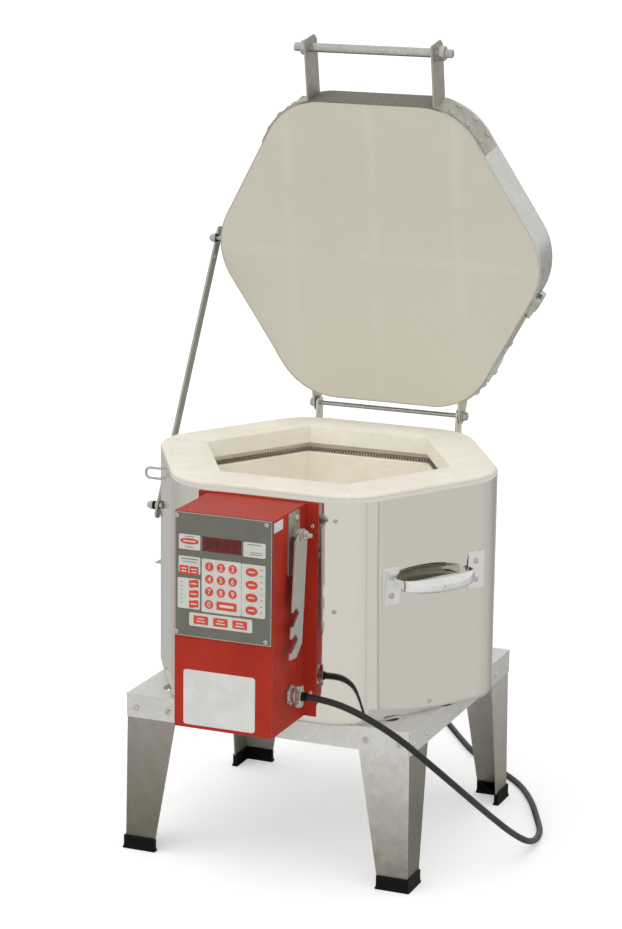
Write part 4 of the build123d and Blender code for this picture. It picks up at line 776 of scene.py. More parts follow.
FIRED_WIRE = OxidisedWire("fired_wire", Slot.ELEMENT_WIRE, (0.27, 0.22, 0.145), 0.5)
GLAZED = MouldedPart("porcelain", Slot.PORCELAIN, (0.9, 0.89, 0.85), 0.2, 0.00001)
BOARD = MouldedPart("circuit_board", Slot.CIRCUIT_BOARD, (0.05, 0.2, 0.09), 0.4)
BLACK_MOULDING = MouldedPart("black_plastic", Slot.BLACK_PLASTIC, (0.03, 0.03, 0.03), 0.45)
WHITE_MOULDING = MouldedPart("white_plastic", Slot.WHITE_PLASTIC, (0.75, 0.75, 0.72), 0.45)
BRASS = ZincSteel("brass", Slot.BRASS, (0.7, 0.55, 0.25), 0.28, (0.3, 0.3, 0.3))


# --------------------------------------------------------------------- surfaces


@dataclass
class Surface:
    """Points in millimetres and the faces that join them.

    Attributes:
        points: array of n points by 3.
        faces: index arrays, each of m faces by the number of their corners.
    """

    points: np.ndarray
    faces: list[np.ndarray]

    def turned(self, degrees: float) -> "Surface":
        """The same surface turned about the kiln's axis."""
        c, s = math.cos(math.radians(degrees)), math.sin(math.radians(degrees))
        return Surface(self.points @ np.array(((c, s, 0), (-s, c, 0), (0, 0, 1.0))), self.faces)

    def mirrored(self) -> "Surface":
        """The same surface on the other side of the plane x = 0."""
        return Surface(self.points * np.array((-1.0, 1.0, 1.0)), [f[:, ::-1] for f in self.faces])

    def lid_open(self) -> "Surface":
        """A surface of the shut lid, turned back about the hinge to where the lid stands open."""
        c, s = math.cos(LID_OPEN), math.sin(LID_OPEN)
        turn = np.array(((1.0, 0, 0), (0, c, -s), (0, s, c)))
        return Surface((self.points - HINGE) @ turn + HINGE, self.faces)


def joined(surfaces: Sequence[Surface]) -> Surface:
    """Several surfaces as one, their face numbers moved on by the points before them."""
    starts = np.cumsum([0] + [len(s.points) for s in surfaces[:-1]])
    faces = [f + start for s, start in zip(surfaces, starts) for f in s.faces]
    return Surface(np.concatenate([s.points for s in surfaces]), faces)


def sheet_grid(points: np.ndarray, wrap_rows: bool = False, wrap_columns: bool = False,
               caps: bool = False) -> Surface:
    """A grid of points joined into quads.

    Face (i, j) joins points (i, j), (i+1, j), (i+1, j+1) and (i, j+1), counted round where the
    grid is closed.

    Args:
        points: array of rows by columns by 3.
        wrap_rows: the last row joins the first.
        wrap_columns: the last column joins the first.
        caps: the first and the last row are closed by one face each.

    Returns:
        The surface.
    """
    rows, columns = points.shape[:2]
    number = np.arange(rows * columns).reshape(rows, columns)
    i = np.arange(rows if wrap_rows else rows - 1)
    j = np.arange(columns if wrap_columns else columns - 1)
    i, j = np.meshgrid(i, j, indexing="ij")
    down, across = (i + 1) % rows, (j + 1) % columns
    quads = np.stack((number[i, j], number[down, j], number[down, across], number[i, across]), -1)
    faces = [quads.reshape(-1, 4)]
    if caps:
        faces += [number[:1, ::-1], number[-1:]]
    return Surface(points.reshape(-1, 3), faces)


def ring_stack(points: np.ndarray) -> Surface:
    """Rings of points joined into one skin, closed over the first and the last of them."""
    return sheet_grid(points, wrap_columns=True, caps=True)


def frame_along(start: Line, end: Line) -> tuple[np.ndarray, np.ndarray, float]:
    """Where a turned piece stands.

    Args:
        start: the middle of its first end.
        end: the middle of its other end.

    Returns:
        The start, three unit rows (two across and one along), and the length.
    """
    start = np.asarray(start, float)
    line = np.asarray(end, float) - start
    length = float(np.linalg.norm(line))
    along = line / length
    helper = np.array((0.0, 0.0, 1.0)) if abs(along[2]) < 0.9 else np.array((1.0, 0.0, 0.0))
    across = np.cross(helper, along)
    across /= np.linalg.norm(across)
    return start, np.stack((across, np.cross(along, across), along)), length


def round_turns(sides: int) -> np.ndarray:
    """Even turns once round, as one row."""
    return np.linspace(0, 2 * np.pi, sides, endpoint=False)[None, :]


def spun(reach: np.ndarray, turn: np.ndarray, height: np.ndarray, origin: np.ndarray | float = 0.0,
         rows: np.ndarray = np.eye(3), wrap_rows: bool = False, caps: bool = False) -> Surface:
    """A surface round a line: origin + reach cos(turn) across + reach sin(turn) up + height along."""
    local = np.stack(np.broadcast_arrays(reach * np.cos(turn), reach * np.sin(turn), height), -1)
    return sheet_grid(local @ rows + origin, wrap_rows, True, caps)


def revolved(start: Line, end: Line, profile: Sequence[tuple[float, float]],
             sides: int = 32) -> Surface:
    """A profile spun round a line.

    A profile point (r, h) and a turn a give start + r cos a across + r sin a up + h along.

    Args:
        start: where the profile's height is zero.
        end: a point further along the line.
        profile: (radius, height) pairs in millimetres.
        sides: how many steps go round.

    Returns:
        The surface, closed where the profile starts and ends on the line.
    """
    origin, rows, _ = frame_along(start, end)
    radius, height = np.array(profile, float).T[:, :, None]
    return spun(radius, round_turns(sides), height, origin, rows)


def turned_rod(start: Line, end: Line, radius: float, chamfer: float = 0.6,
               sides: int = 32) -> Surface:
    """A round bar with a chamfer at both ends."""
    length = frame_along(start, end)[2]
    profile = [(0, 0), (radius - chamfer, 0), (radius, chamfer), (radius, length - chamfer),
               (radius - chamfer, length), (0, length)]
    return revolved(start, end, profile, sides)


def threaded_rod(start: Line, end: Line, radius: float, pitch: float,
                 sides: int = 20) -> Surface:
    """A threaded bar with tapered tips.

    The radius at height h and turn a is the outer one less a triangle wave of h/pitch - a/turn.
    """
    origin, rows, length = frame_along(start, end)
    steps = max(8, int(length / pitch * 6))
    height = np.linspace(0, length, steps)[:, None]
    turn = round_turns(sides)
    wave = np.abs(((height / pitch - turn / (2 * np.pi)) % 1.0) * 2 - 1)
    taper = np.clip(np.minimum(height, length - height) / pitch, 0, 1)
    around = radius - 0.32 * pitch * wave - 0.5 * (1 - taper)
    return spun(around, turn, height, origin, rows, caps=True)


def washer(start: Line, end: Line, radius: float, bore: float) -> Surface:
    """A flat ring with rounded rims."""
    length = frame_along(start, end)[2]
    soft = min(0.3, length / 4)
    profile = [(bore, 0), (radius - soft, 0), (radius, soft), (radius, length - soft),
               (radius - soft, length), (bore, length), (bore, 0)]
    return revolved(start, end, profile, 36)


def chamfered_nut(start: Line, end: Line, across: float, bore: float) -> Surface:
    """A hexagon nut whose corners are turned away at both faces.

    The radius at turn a is the hexagon's, apothem / cos(a within its side), but no more than the
    chamfer cone allows at that height.
    """
    origin, rows, length = frame_along(start, end)
    apothem = across / 2
    turn = round_turns(48)
    side = (turn + np.pi / 6) % (np.pi / 3) - np.pi / 6
    hexagon = apothem / np.cos(side)
    heights = np.array((0, 0.0, 0.12, 0.24, 0.76, 0.88, 1.0, 1.0))[:, None] * length
    cone = apothem * np.array((0, 0.985, 1.075, 1.2, 1.2, 1.075, 0.985, 0))[:, None]
    around = np.minimum(hexagon, cone)
    around[[0, -1]] = bore
    return spun(around, turn, heights, origin, rows, wrap_rows=True)


def fastener(seat: Line, inward: Line, head: tuple[float, float], shank: float,
             length: float, drive: Drive = Drive.CROSS) -> Surface:
    """A pan-head screw or rivet.

    The head's height at radius r is the rim's superellipse times a slight crown; the cross recess
    takes away a smooth step where the point is near either arm of the cross.

    Args:
        seat: the middle of the head's flat underside.
        inward: the direction that the shank goes.
        head: the head's radius and height.
        shank: the shank's radius.
        length: the shank's length.
        drive: the recess in the head.

    Returns:
        The surface.
    """
    seat = np.asarray(seat, float)
    inward = np.asarray(inward, float) / np.linalg.norm(inward)
    origin, rows, _ = frame_along(seat, seat - inward)
    reach = head[0] * np.sin(np.linspace(0, 1, 11) * np.pi / 2)[:, None]
    turn = round_turns(40)
    share = reach / head[0]
    height = head[1] * np.clip(1 - share ** 5, 0, 1) ** 0.45 * (1 - 0.12 * share ** 2) + 0 * turn
    if drive is Drive.CROSS:
        spin = turn + 0.4 + 0.7 * (seat.sum() % 3.1)
        arm = np.minimum(np.abs(np.cos(spin)), np.abs(np.sin(spin))) * reach
        wide = np.clip(1.6 - arm / (0.13 * head[0]), 0, 1)
        deep = np.clip(1.0 - (share / 0.62) ** 6, 0, 1)
        height = height - 0.55 * head[1] * wide * deep
    crown = spun(reach, turn, height, origin, rows)
    profile = [(head[0], 0), (shank, 0), (shank, length - 0.4), (shank * 0.7, length), (0, length)]
    return joined([crown, revolved(seat, seat + inward, profile, 40)])


def hexagon_reach(turn: np.ndarray, apothem: np.ndarray, radius: np.ndarray) -> np.ndarray:
    """How far a hexagon with rounded corners on X reaches at a turn.

    On a side it is apothem / cos(t), where t is the turn from that side's middle. Round a corner
    it is c cos(u) + sqrt(r^2 - (c sin(u))^2), where c is the distance of the arc's centre, r its
    radius and u the turn from the corner.
    """
    local = turn % (np.pi / 3) - np.pi / 6
    away = np.pi / 6 - np.abs(local)
    centre = (apothem - radius) / math.cos(np.pi / 6)
    limit = np.arctan2((apothem - radius) * math.tan(np.pi / 6), apothem)
    arc = centre * np.cos(away) + np.sqrt(np.clip(radius ** 2 - (centre * np.sin(away)) ** 2, 0, None))
    return np.where(np.abs(local) <= limit, apothem / np.cos(local), arc)


def hexagon_turns(steps: int) -> np.ndarray:
    """Turns once round a hexagon, closer together at its corners."""
    base = np.linspace(0, 1, steps, endpoint=False)
    side = base * 6 % 1.0
    eased = side - 0.085 * np.sin(2 * np.pi * side)
    return (np.floor(base * 6 + 1e-9) + eased) * np.pi / 3


def hexagon_ring(profile: np.ndarray, turn: np.ndarray) -> np.ndarray:
    """Points of a rounded-hexagon ring.

    Args:
        profile: rows of (apothem, corner radius, height).
        turn: the turns round the axis.

    Returns:
        Array of profile points by turns by 3.
    """
    apothem, radius, height = profile.T[:, :, None]
    reach = hexagon_reach(turn[None, :], apothem, radius)
    return np.stack(np.broadcast_arrays(reach * np.cos(turn), reach * np.sin(turn), height), -1)


def superellipse(width: float, height: float, power: float, steps: int = 40) -> np.ndarray:
    """An outline between an oval and a rectangle: |x/a|^n + |y/b|^n = 1, as steps by 2."""
    turn = np.linspace(0, 2 * np.pi, steps, endpoint=False)
    c, s = np.cos(turn), np.sin(turn)
    return np.stack((width / 2 * np.sign(c) * np.abs(c) ** (2 / power),
                     height / 2 * np.sign(s) * np.abs(s) ** (2 / power)), -1)


def raised_pad(outline: np.ndarray, x: float, z: float, back: float, height: float) -> Surface:
    """A pad standing out towards -Y from an outline in (x, z), its front edge drawn in a little."""
    steps = np.array(((1.0, 0.0), (1.0, 0.7), (0.985, 1.0)))
    rows = outline[None, :, :] * steps[:, None, :1]
    depth = np.broadcast_to(back - height * steps[:, None, 1], rows.shape[:2])
    return ring_stack(np.stack((rows[..., 0] + x, depth, rows[..., 1] + z), -1))


def printed_bars(bars: Sequence[tuple], back: float, height: float, power: float = 9.0,
                 steps: int = 20) -> Surface:
    """Thin printed bars, each given by the x and z of its middle, its width and its height."""
    return joined([raised_pad(superellipse(w, h, power, steps), x, z, back, height) for x, z, w, h in bars])


@dataclass(frozen=True)
class BoltLine:
    """A line along X that carries turned parts, each from one distance along it to another.

    Attributes:
        side: 1 where distances are counted towards +X, and -1 towards -X.
        y: the line's place on Y.
        z: its height.
    """

    side: int
    y: float
    z: float

    def at(self, x: float) -> Point:
        """A point on the line."""
        return (self.side * x, self.y, self.z)

    def thread(self, start: float, end: float, radius: float = 3.05, pitch: float = 0.9,
               sides: int = 20) -> Surface:
        """A threaded bar, of the small bolts' size if no other is given."""
        return threaded_rod(self.at(start), self.at(end), radius, pitch, sides)

    def nut(self, start: float, end: float, across: float = 11.0, bore: float = 2.6) -> Surface:
        """A hexagon nut."""
        return chamfered_nut(self.at(start), self.at(end), across, bore)

    def washer(self, start: float, end: float, radius: float = 8.25, bore: float = 3.1) -> Surface:
        """A washer, or a spacer where it is long."""
        return washer(self.at(start), self.at(end), radius, bore)

    def acorn(self, start: float, heights: Sequence[float]) -> Surface:
        """The dome of an acorn nut, given the heights of its rings from the rim to the tip."""
        profile = tuple(zip((5.0, 5.0, 4.7, 3.6, 1.8, 0.0), heights))
        return revolved(self.at(start), self.at(start + 1.0), profile)


# ----------------------------------------------------------------------- pieces


@dataclass(frozen=True)
class Softening:
    """How a piece's edges are rounded.

    Attributes:
        width: the rounding's width in millimetres.
        steps: how many faces go round an edge.
        degrees: the least angle of an edge that is rounded.
    """

    width: float
    steps: int = 2
    degrees: float = 30.0

    def apply(self, piece: Piece) -> None:
        """Adds the Bevel modifier."""
        bevel = piece.modifiers.new("softened_edges", "BEVEL")
        bevel.width = self.width * MM
        bevel.segments = self.steps
        bevel.limit_method = "ANGLE"
        bevel.angle_limit = math.radians(self.degrees)
        bevel.harden_normals = True


def placed(name: str, data: bpy.types.ID) -> Piece:
    """A new object in the scene."""
    made = bpy.data.objects.new(name, data)
    bpy.context.scene.collection.objects.link(made)
    return made


class Maker:
    @staticmethod
    def settle(mesh: bpy.types.Mesh, recalculate: bool) -> None:
        """Merges doubles, points the faces outwards and marks the sharp edges."""
        work = bmesh.new()
        work.from_mesh(mesh)
        bmesh.ops.remove_doubles(work, verts=work.verts, dist=0.004 * MM)
        bmesh.ops.dissolve_degenerate(work, dist=0.002 * MM, edges=work.edges)
        if recalculate:
            bmesh.ops.recalc_face_normals(work, faces=work.faces)
        else:
            bmesh.ops.dissolve_limit(work, angle_limit=math.radians(0.4), verts=work.verts,
                                     edges=work.edges)
        work.to_mesh(mesh)
        work.free()
        mesh.shade_smooth()
        mesh.set_sharp_from_angle(angle=math.radians(32))

    @staticmethod
    def declare(piece: Piece, finish: Finish, body: Body, nodes: Sequence[str]) -> None:
        """Gives a piece its finish, its body and the nodes that it stands for."""
        piece.data.materials.clear()
        piece.data.materials.append(finish.material())
        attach(piece, body.value)
        if nodes:
            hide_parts(*nodes)
        log.info("%s rides on %s, in %s", piece.name, body.value, finish.name)

    @staticmethod
    def piece(name: str, surface: Surface, finish: Finish, nodes: Sequence[str] = (),
              soft: Softening | None = None, wall: float = 0.0,
              body: Body = Body.KILN) -> Piece:
        """Makes a piece from a worked-out surface.

        Args:
            name: the piece's name.
            surface: its surface, in millimetres about the kiln's axis.
            finish: its finish.
            nodes: the CAD nodes that it stands for.
            soft: the rounding of its edges.
            wall: the thickness, inwards, of an open sheet.
            body: what it moves with.

        Returns:
            The object.
        """
        mesh = bpy.data.meshes.new(name)
        faces = [face for block in surface.faces for face in block.tolist()]
        mesh.from_pydata((surface.points * MM + AXIS).tolist(), [], faces)
        Maker.settle(mesh, recalculate=True)
        made = placed(name, mesh)
        if wall:
            solid = made.modifiers.new("sheet", "SOLIDIFY")
            solid.thickness = wall * MM
            solid.offset = -1.0
            solid.use_even_offset = True
        if soft:
            soft.apply(made)
        Maker.declare(made, finish, body, nodes)
        return made

    @staticmethod
    def softened(node: str, finish: Finish, soft: Softening, body: Body = Body.KILN) -> None:
        """Makes a copy of a CAD node, its triangles merged and its edges rounded, to stand for it."""
        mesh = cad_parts[node].data.copy()
        mesh.name = node + "_softened"
        Maker.settle(mesh, recalculate=False)
        made = placed(node + "_softened", mesh)
        soft.apply(made)
        Maker.declare(made, finish, body, [node])


# -------------------------------------------------------------------- the studio


@dataclass(frozen=True)
class Studio:
    """The camera, the pale floor, the surroundings and the soft lights."""

    position: Point = (1.374757, -3.380083, 1.3642)
    yaw: float = 22.14
    pitch: float = 13.13
    roll: float = 0.77
    focal_pixels: float = 2796.37
    picture_height: float = 929.0
    ambient: float = 0.62
    floor_glow: float = 0.40
    chamber_watts: float = 0.13

    def camera(self) -> None:
        """Makes the camera where the photograph was taken from."""
        yaw, pitch, roll = (math.radians(v) for v in (self.yaw, self.pitch, self.roll))
        forward = Vector((-math.sin(yaw) * math.cos(pitch), math.cos(yaw) * math.cos(pitch),
                          -math.sin(pitch)))
        level = Vector((math.cos(yaw), math.sin(yaw), 0.0))
        above = level.cross(forward)
        right = level * math.cos(roll) + above * math.sin(roll)
        up = above * math.cos(roll) - level * math.sin(roll)
        data = bpy.data.cameras.new("camera")
        data.sensor_width = 36.0
        data.lens = self.focal_pixels * data.sensor_width / self.picture_height
        data.clip_end = 200.0
        camera = placed("camera", data)
        camera.matrix_world = Matrix.Translation(self.position) @ Matrix(
            (right, up, -forward)).transposed().to_4x4()
        bpy.context.scene.camera = camera

    def surroundings(self) -> None:
        """A white background to the camera, soft grey walls to the metal, an even light to the rest."""
        world = bpy.data.worlds.new("studio")
        bpy.context.scene.world = world
        world.use_nodes = True
        graph = Graph(world.node_tree)
        world.node_tree.nodes.clear()
        path = graph.add("ShaderNodeLightPath")
        ray = graph.add("ShaderNodeTexCoord").outputs["Generated"]
        walls = graph.effect("Studio walls", Vector=ray).outputs["Level"]
        round_about = graph.blend(walls, (0.0, 0.0, 0.0), (1.0, 0.99, 0.97))
        room = graph.blend(graph.remap(graph.part(ray, "Z"), -0.02, 0.10), round_about, (0.9, 0.9, 0.89))
        seen = graph.add("ShaderNodeBackground", {"Color": (1.0, 1.0, 1.0, 1.0), "Strength": 1.0})
        mirrored = graph.add("ShaderNodeBackground", {"Color": room, "Strength": 1.0})
        lit = graph.add("ShaderNodeBackground", {"Color": (1.0, 0.995, 0.985, 1.0),
                                                 "Strength": self.ambient})
        shine = graph.math("MAXIMUM", path.outputs["Is Glossy Ray"], path.outputs["Is Transmission Ray"])
        inner = graph.add("ShaderNodeMixShader", {0: shine, 1: lit.outputs[0], 2: mirrored.outputs[0]})
        outer = graph.add("ShaderNodeMixShader", {0: path.outputs["Is Camera Ray"], 1: inner.outputs[0],
                                                  2: seen.outputs[0]})
        graph.add("ShaderNodeOutputWorld", {"Surface": outer.outputs[0]})

    def lights(self) -> None:
        """A broad soft light overhead, a weak one from the right and a faint one in the chamber."""
        for name, strength, spread, direction in (("overhead", 1.1, 70.0, (-0.25, -0.5, 1.0)),
                                                  ("fill", 0.3, 90.0, (0.9, -0.8, 0.5))):
            data = bpy.data.lights.new(name, "SUN")
            data.energy = strength
            data.angle = math.radians(spread)
            lamp = placed(name, data)
            lamp.rotation_euler = Vector(direction).to_track_quat("Z", "Y").to_euler()
            lamp.visible_glossy = False
        glow = bpy.data.lights.new("chamber_fill", "POINT")
        glow.energy = self.chamber_watts
        glow.shadow_soft_size = 0.09
        glow.color = (1.0, 0.97, 0.9)
        lamp = placed("chamber_fill", glow)
        lamp.location = Vector(AXIS) + Vector((0.0, 0.0, 0.44))
        lamp.visible_glossy = False

    def floor(self) -> None:
        """A wide pale floor that keeps the shadow and looks white to the camera; to the metal it shows the
        studio walls' levels, a painted reflection.
        """
        line = np.linspace(-30.0, 30.0, 13)
        x, y = np.meshgrid(line, line, indexing="ij")
        surface = sheet_grid(np.stack((x, y, np.zeros_like(x)), -1))
        mesh = bpy.data.meshes.new("floor")
        mesh.from_pydata(surface.points.tolist(), [], surface.faces[0].tolist())
        floor = placed("floor", mesh)
        material = bpy.data.materials.new("pale_floor")
        material.use_nodes = True
        graph = Graph(material.node_tree)
        material.node_tree.nodes.clear()
        path = graph.add("ShaderNodeLightPath")
        coords = graph.add("ShaderNodeTexCoord").outputs["Object"]
        walls = graph.effect("Studio walls", Vector=coords).outputs["Level"]
        # Painted reflection: glossy rays see the floor darkened by the studio walls' level in its direction.
        mirrored = graph.blend(walls, (0.0, 0.0, 0.0), (0.92, 0.91, 0.89))
        colour = graph.blend(path.outputs["Is Glossy Ray"], (0.80, 0.80, 0.79), mirrored)
        paint = graph.add("ShaderNodeBsdfDiffuse", {"Color": colour})
        glow = graph.add("ShaderNodeEmission", {
            "Color": (1.0, 1.0, 1.0, 1.0),
            "Strength": graph.times(path.outputs["Is Camera Ray"], self.floor_glow)})
        both = graph.add("ShaderNodeAddShader", {0: paint.outputs[0], 1: glow.outputs[0]})
        graph.add("ShaderNodeOutputMaterial", {"Surface": both.outputs[0]})
        mesh.materials.append(material)


# ----------------------------------------------------------------- sub-assemblies


@dataclass(frozen=True)
class PowerCord:
    """The round mains cord: strain relief, hanging run, coil behind the kiln and plug."""

    diameter: float = 8.8
    exit: Point = (78.0, -266.0, 269.5)
    route: tuple[Point, ...] = (
        (110, -266, 269.5), (152, -266, 259), (203, -264, 235), (243, -240, 194), (268, -190, 146),
        (284, -120, 92), (296, -45, 40), (302, 15, 9), (297, 70, 4.4), (273, 125, 4.4),
        (246, 186, 4.4), (208, 248, 4.4), (158, 296, 4.4), (102, 350, 4.4), (58, 412, 4.4),
        (21, 466, 4.4))
    coil_middle: tuple[float, float] = (-66.0, 483.0)
    coil_entry: float = 31.0
    steps_per_turn: int = 18
    lead: tuple[Point, ...] = ((-126, 457, 13.6), (-126, 428, 12.8), (-126, 398, 11.6), (-126, 366, 11))
    length: float = 2.13
    plug_length: float = 42.0
    clamp: Point = (60.0, -266.0, 269.5)

    def coil_points(self) -> np.ndarray:
        """The coil's turns.

        The turn goes on from the entry to half a turn past two whole ones. The radius goes from the
        outer track to the inner one and back between them as the cord climbs to the upper layer.
        """
        turn = np.arange(self.coil_entry, 900.1, 360.0 / self.steps_per_turn)
        radius = np.interp(turn, (31, 330, 385, 665, 700, 900), (64.4, 64.4, 55.6, 55.6, 60, 60))
        height = np.interp(turn, (31, 620, 665, 690, 750, 790, 900),
                           (4.4, 4.4, 12, 13.4, 13.4, 12.4, 13.2))
        angle = np.radians(turn)
        x = self.coil_middle[0] + radius * np.cos(angle)
        y = self.coil_middle[1] + radius * np.sin(angle)
        return np.stack((x, y, height), -1)

    def cord(self) -> Piece:
        """Makes the cord as one open NURBS spline through its route."""
        points = np.concatenate(([self.exit], self.route, self.coil_points(), self.lead))
        points = points * MM + AXIS
        curve = bpy.data.curves.new("power_cord_run", "CURVE")
        curve.dimensions = "3D"
        curve.bevel_depth = self.diameter / 2 * MM
        curve.bevel_resolution = 5
        curve.use_fill_caps = True
        curve.resolution_u = 8
        spline = curve.splines.new("NURBS")
        spline.points.add(len(points) - 1)
        spline.points.foreach_set("co", np.column_stack((points, np.ones(len(points)))).ravel())
        spline.order_u = 3
        spline.use_endpoint_u = True
        made = placed("power_cord_run", curve)
        Maker.declare(made, CORD_JACKET, Body.KILN, ["power_cord", "cord_coil"])
        return made

    def plug(self) -> tuple[Piece, Piece]:
        """Makes the moulded plug and its blades.

        The body's section at a distance is a superellipse whose half width and height follow the
        given stations, pressed in by a cosine of the distance where the grip ridges are.
        """
        x, y, z = self.lead[-1]
        along = np.linspace(0, 1, 45)
        stations = (0.0, 0.04, 0.2, 0.42, 0.6, 0.93, 1.0)
        wide = np.interp(along, stations, (5.6, 6.6, 7.8, 13.2, 14.6, 14.6, 13.6))
        high = np.interp(along, stations, (5.4, 6.4, 7.2, 9.6, 10.6, 10.6, 9.8))
        ridge = np.where((along > 0.45) & (along < 0.85), 0.35 * (1 + np.cos(along * 42 * 2.2)), 0)
        outline = superellipse(2.0, 2.0, 3.2, 40)
        ring = np.stack(np.broadcast_arrays(x + outline[None, :, 0] * (wide - ridge)[:, None],
                                            (y - along * self.plug_length)[:, None],
                                            z + outline[None, :, 1] * (high - ridge * 0.6)[:, None]), -1)
        body = Maker.piece("plug_moulding", ring_stack(ring), CORD_JACKET,
                           ["plug_body"])
        face = y - self.plug_length
        blades = [raised_pad(superellipse(1.6, 6.4, 9.0), x + side * 6.35, z + 3.0, face, 17.0)
                  for side in (-1, 1)]
        blades.append(revolved((x, face, z - 6), (x, face - 20, z - 6),
                               ((0, 0), (2.4, 0), (2.4, 17.2), (1.9, 19.2), (0.9, 19.9), (0, 20.0)), 24))
        pins = Maker.piece("plug_pins", joined(blades), BRASS, ["plug_blades"])
        return body, pins

    def strain_relief(self) -> None:
        """Makes the clamp connector: a ribbed collar, a saddle with two screws and a tapered sleeve."""
        x, y, z = self.clamp
        collar = revolved((x, y, z), (x + 1, y, z),
                          ((0, 0), (11.6, 0), (12.0, 0.4), (12.0, 2.8), (9.2, 3.2), (9.2, 9.6), (8.9, 10.0),
                           (0, 10.0)), 40)
        nut = chamfered_nut((x + 0.1, y, z), (x + 3.6, y, z), 24.6, 8.0)
        saddles = []
        for side in (-1, 1):
            span = np.linspace(-math.pi / 2, math.pi / 2, 17)
            arch = np.stack((8.6 * np.cos(span), 8.6 * np.sin(span)), -1) * np.array((0.72, 1.0))
            flat = np.concatenate(([(0.4, -14.0), (3.4, -14.0)], arch[3:-3] + (1.4, 0),
                                   [(3.4, 14.0), (0.4, 14.0)]))
            columns = np.array((8.0, 8.4, 17.4, 17.9))
            shrink = np.array((0.94, 1.0, 1.0, 0.94))
            ring = flat[None, :, :] * shrink[:, None, None]
            points = np.stack((np.broadcast_to(x + columns[:, None], ring.shape[:2]),
                               y + side * ring[..., 0], z + ring[..., 1]), -1)
            saddles.append(ring_stack(points))
        screws = [fastener((x + 13, y - 3.6, z + rise), (0, 1, 0), (2.9, 1.8), 1.6, 7.0)
                  for rise in (-11.6, 11.6)]
        Maker.piece("cord_clamp", joined([collar, nut, *saddles, *screws]), PLATED_HARDWARE,
                    ["strain_relief"], Softening(0.25, 2, 35))
        sleeve = revolved((x + 9, y, z), (x + 10, y, z),
                          ((4.0, 0), (6.4, 0), (6.4, 8.5), (6.1, 9.8), (5.7, 10.6), (5.9, 11.4), (5.4, 12.6),
                           (5.2, 13.6), (5.35, 14.6), (5.0, 16.0), (4.6, 17.0), (4.3, 17.0)), 40)
        Maker.piece("cord_sleeve", sleeve, RUBBER)

    def build(self) -> None:
        """Makes the cord, its plug and strain relief."""
        run = self.cord()
        body, pins = self.plug()
        tuple(np.array(self.exit) * MM + AXIS)
        self.strain_relief()


@dataclass(frozen=True)
class Stand:
    """The square deck, its legs, rubber caps and screws."""

    half: float = 202.0
    screw_height: float = 200.0
    screw_offsets: tuple[float, float] = (15.0, 61.0)
    foot_face: float = 202.5
    foot_width: float = 41.0

    def cap(self) -> Surface:
        """One rubber cap for the corner at +X +Y.

        Each row is the leg's L outline pushed outwards by an offset at a height: a flared lip at
        the floor, a drawn-in wall, and a rolled top that meets the leg.
        """
        offsets = np.array((1.2, 2.8, 3.5, 3.3, 2.4, 2.2, 2.3, 2.2, 1.6, 0.2, -0.4))[:, None]
        heights = np.array((0.0, 0.0, 1.0, 2.4, 4.6, 9.0, 15.0, 18.2, 19.0, 19.0, 17.5))[:, None]
        face, width = self.foot_face, self.foot_width
        outer, end, inner = face + offsets, face - width - offsets, face - 2.0 - offsets
        x = np.concatenate((outer, end, end, inner, inner, outer), 1)
        y = np.concatenate((outer, outer, inner, inner, end, end), 1)
        points = np.stack((x, y, np.broadcast_to(heights, x.shape)), -1)
        return ring_stack(points)

    def screws(self) -> Surface:
        """The sixteen screws that hold the legs, two by each corner on each face."""
        heads = []
        for turn in (0, 90, 180, 270):
            for offset in self.screw_offsets:
                for side in (-1, 1):
                    seat = (self.half, side * (self.half - offset), self.screw_height)
                    heads.append(fastener(seat, (-1, 0, 0), PAN_HEAD, 2.2, 7.5).turned(turn))
        return joined(heads)

    def build(self) -> None:
        """Makes the stand."""
        Maker.softened("stand_deck", ZINC_SHEET, Softening(0.9, 3))
        # The front left and the rear legs take darker copies of the sheet, as painted shade.
        for corner, finish in (("rear_right", REAR_LEG_ZINC), ("rear_left", REAR_LEG_ZINC),
                               ("front_right", LEG_ZINC), ("front_left", SHADED_LEG_ZINC)):
            Maker.softened("stand_leg_" + corner, finish, Softening(0.7))
        caps = joined([self.cap().turned(turn) for turn in (0, 90, 180, 270)])
        Maker.piece("rubber_caps", caps, RUBBER, ["foot_caps"], Softening(0.8, 2, 40))
        Maker.piece("leg_screws", self.screws(), BRIGHT_HARDWARE, ["stand_screws"])


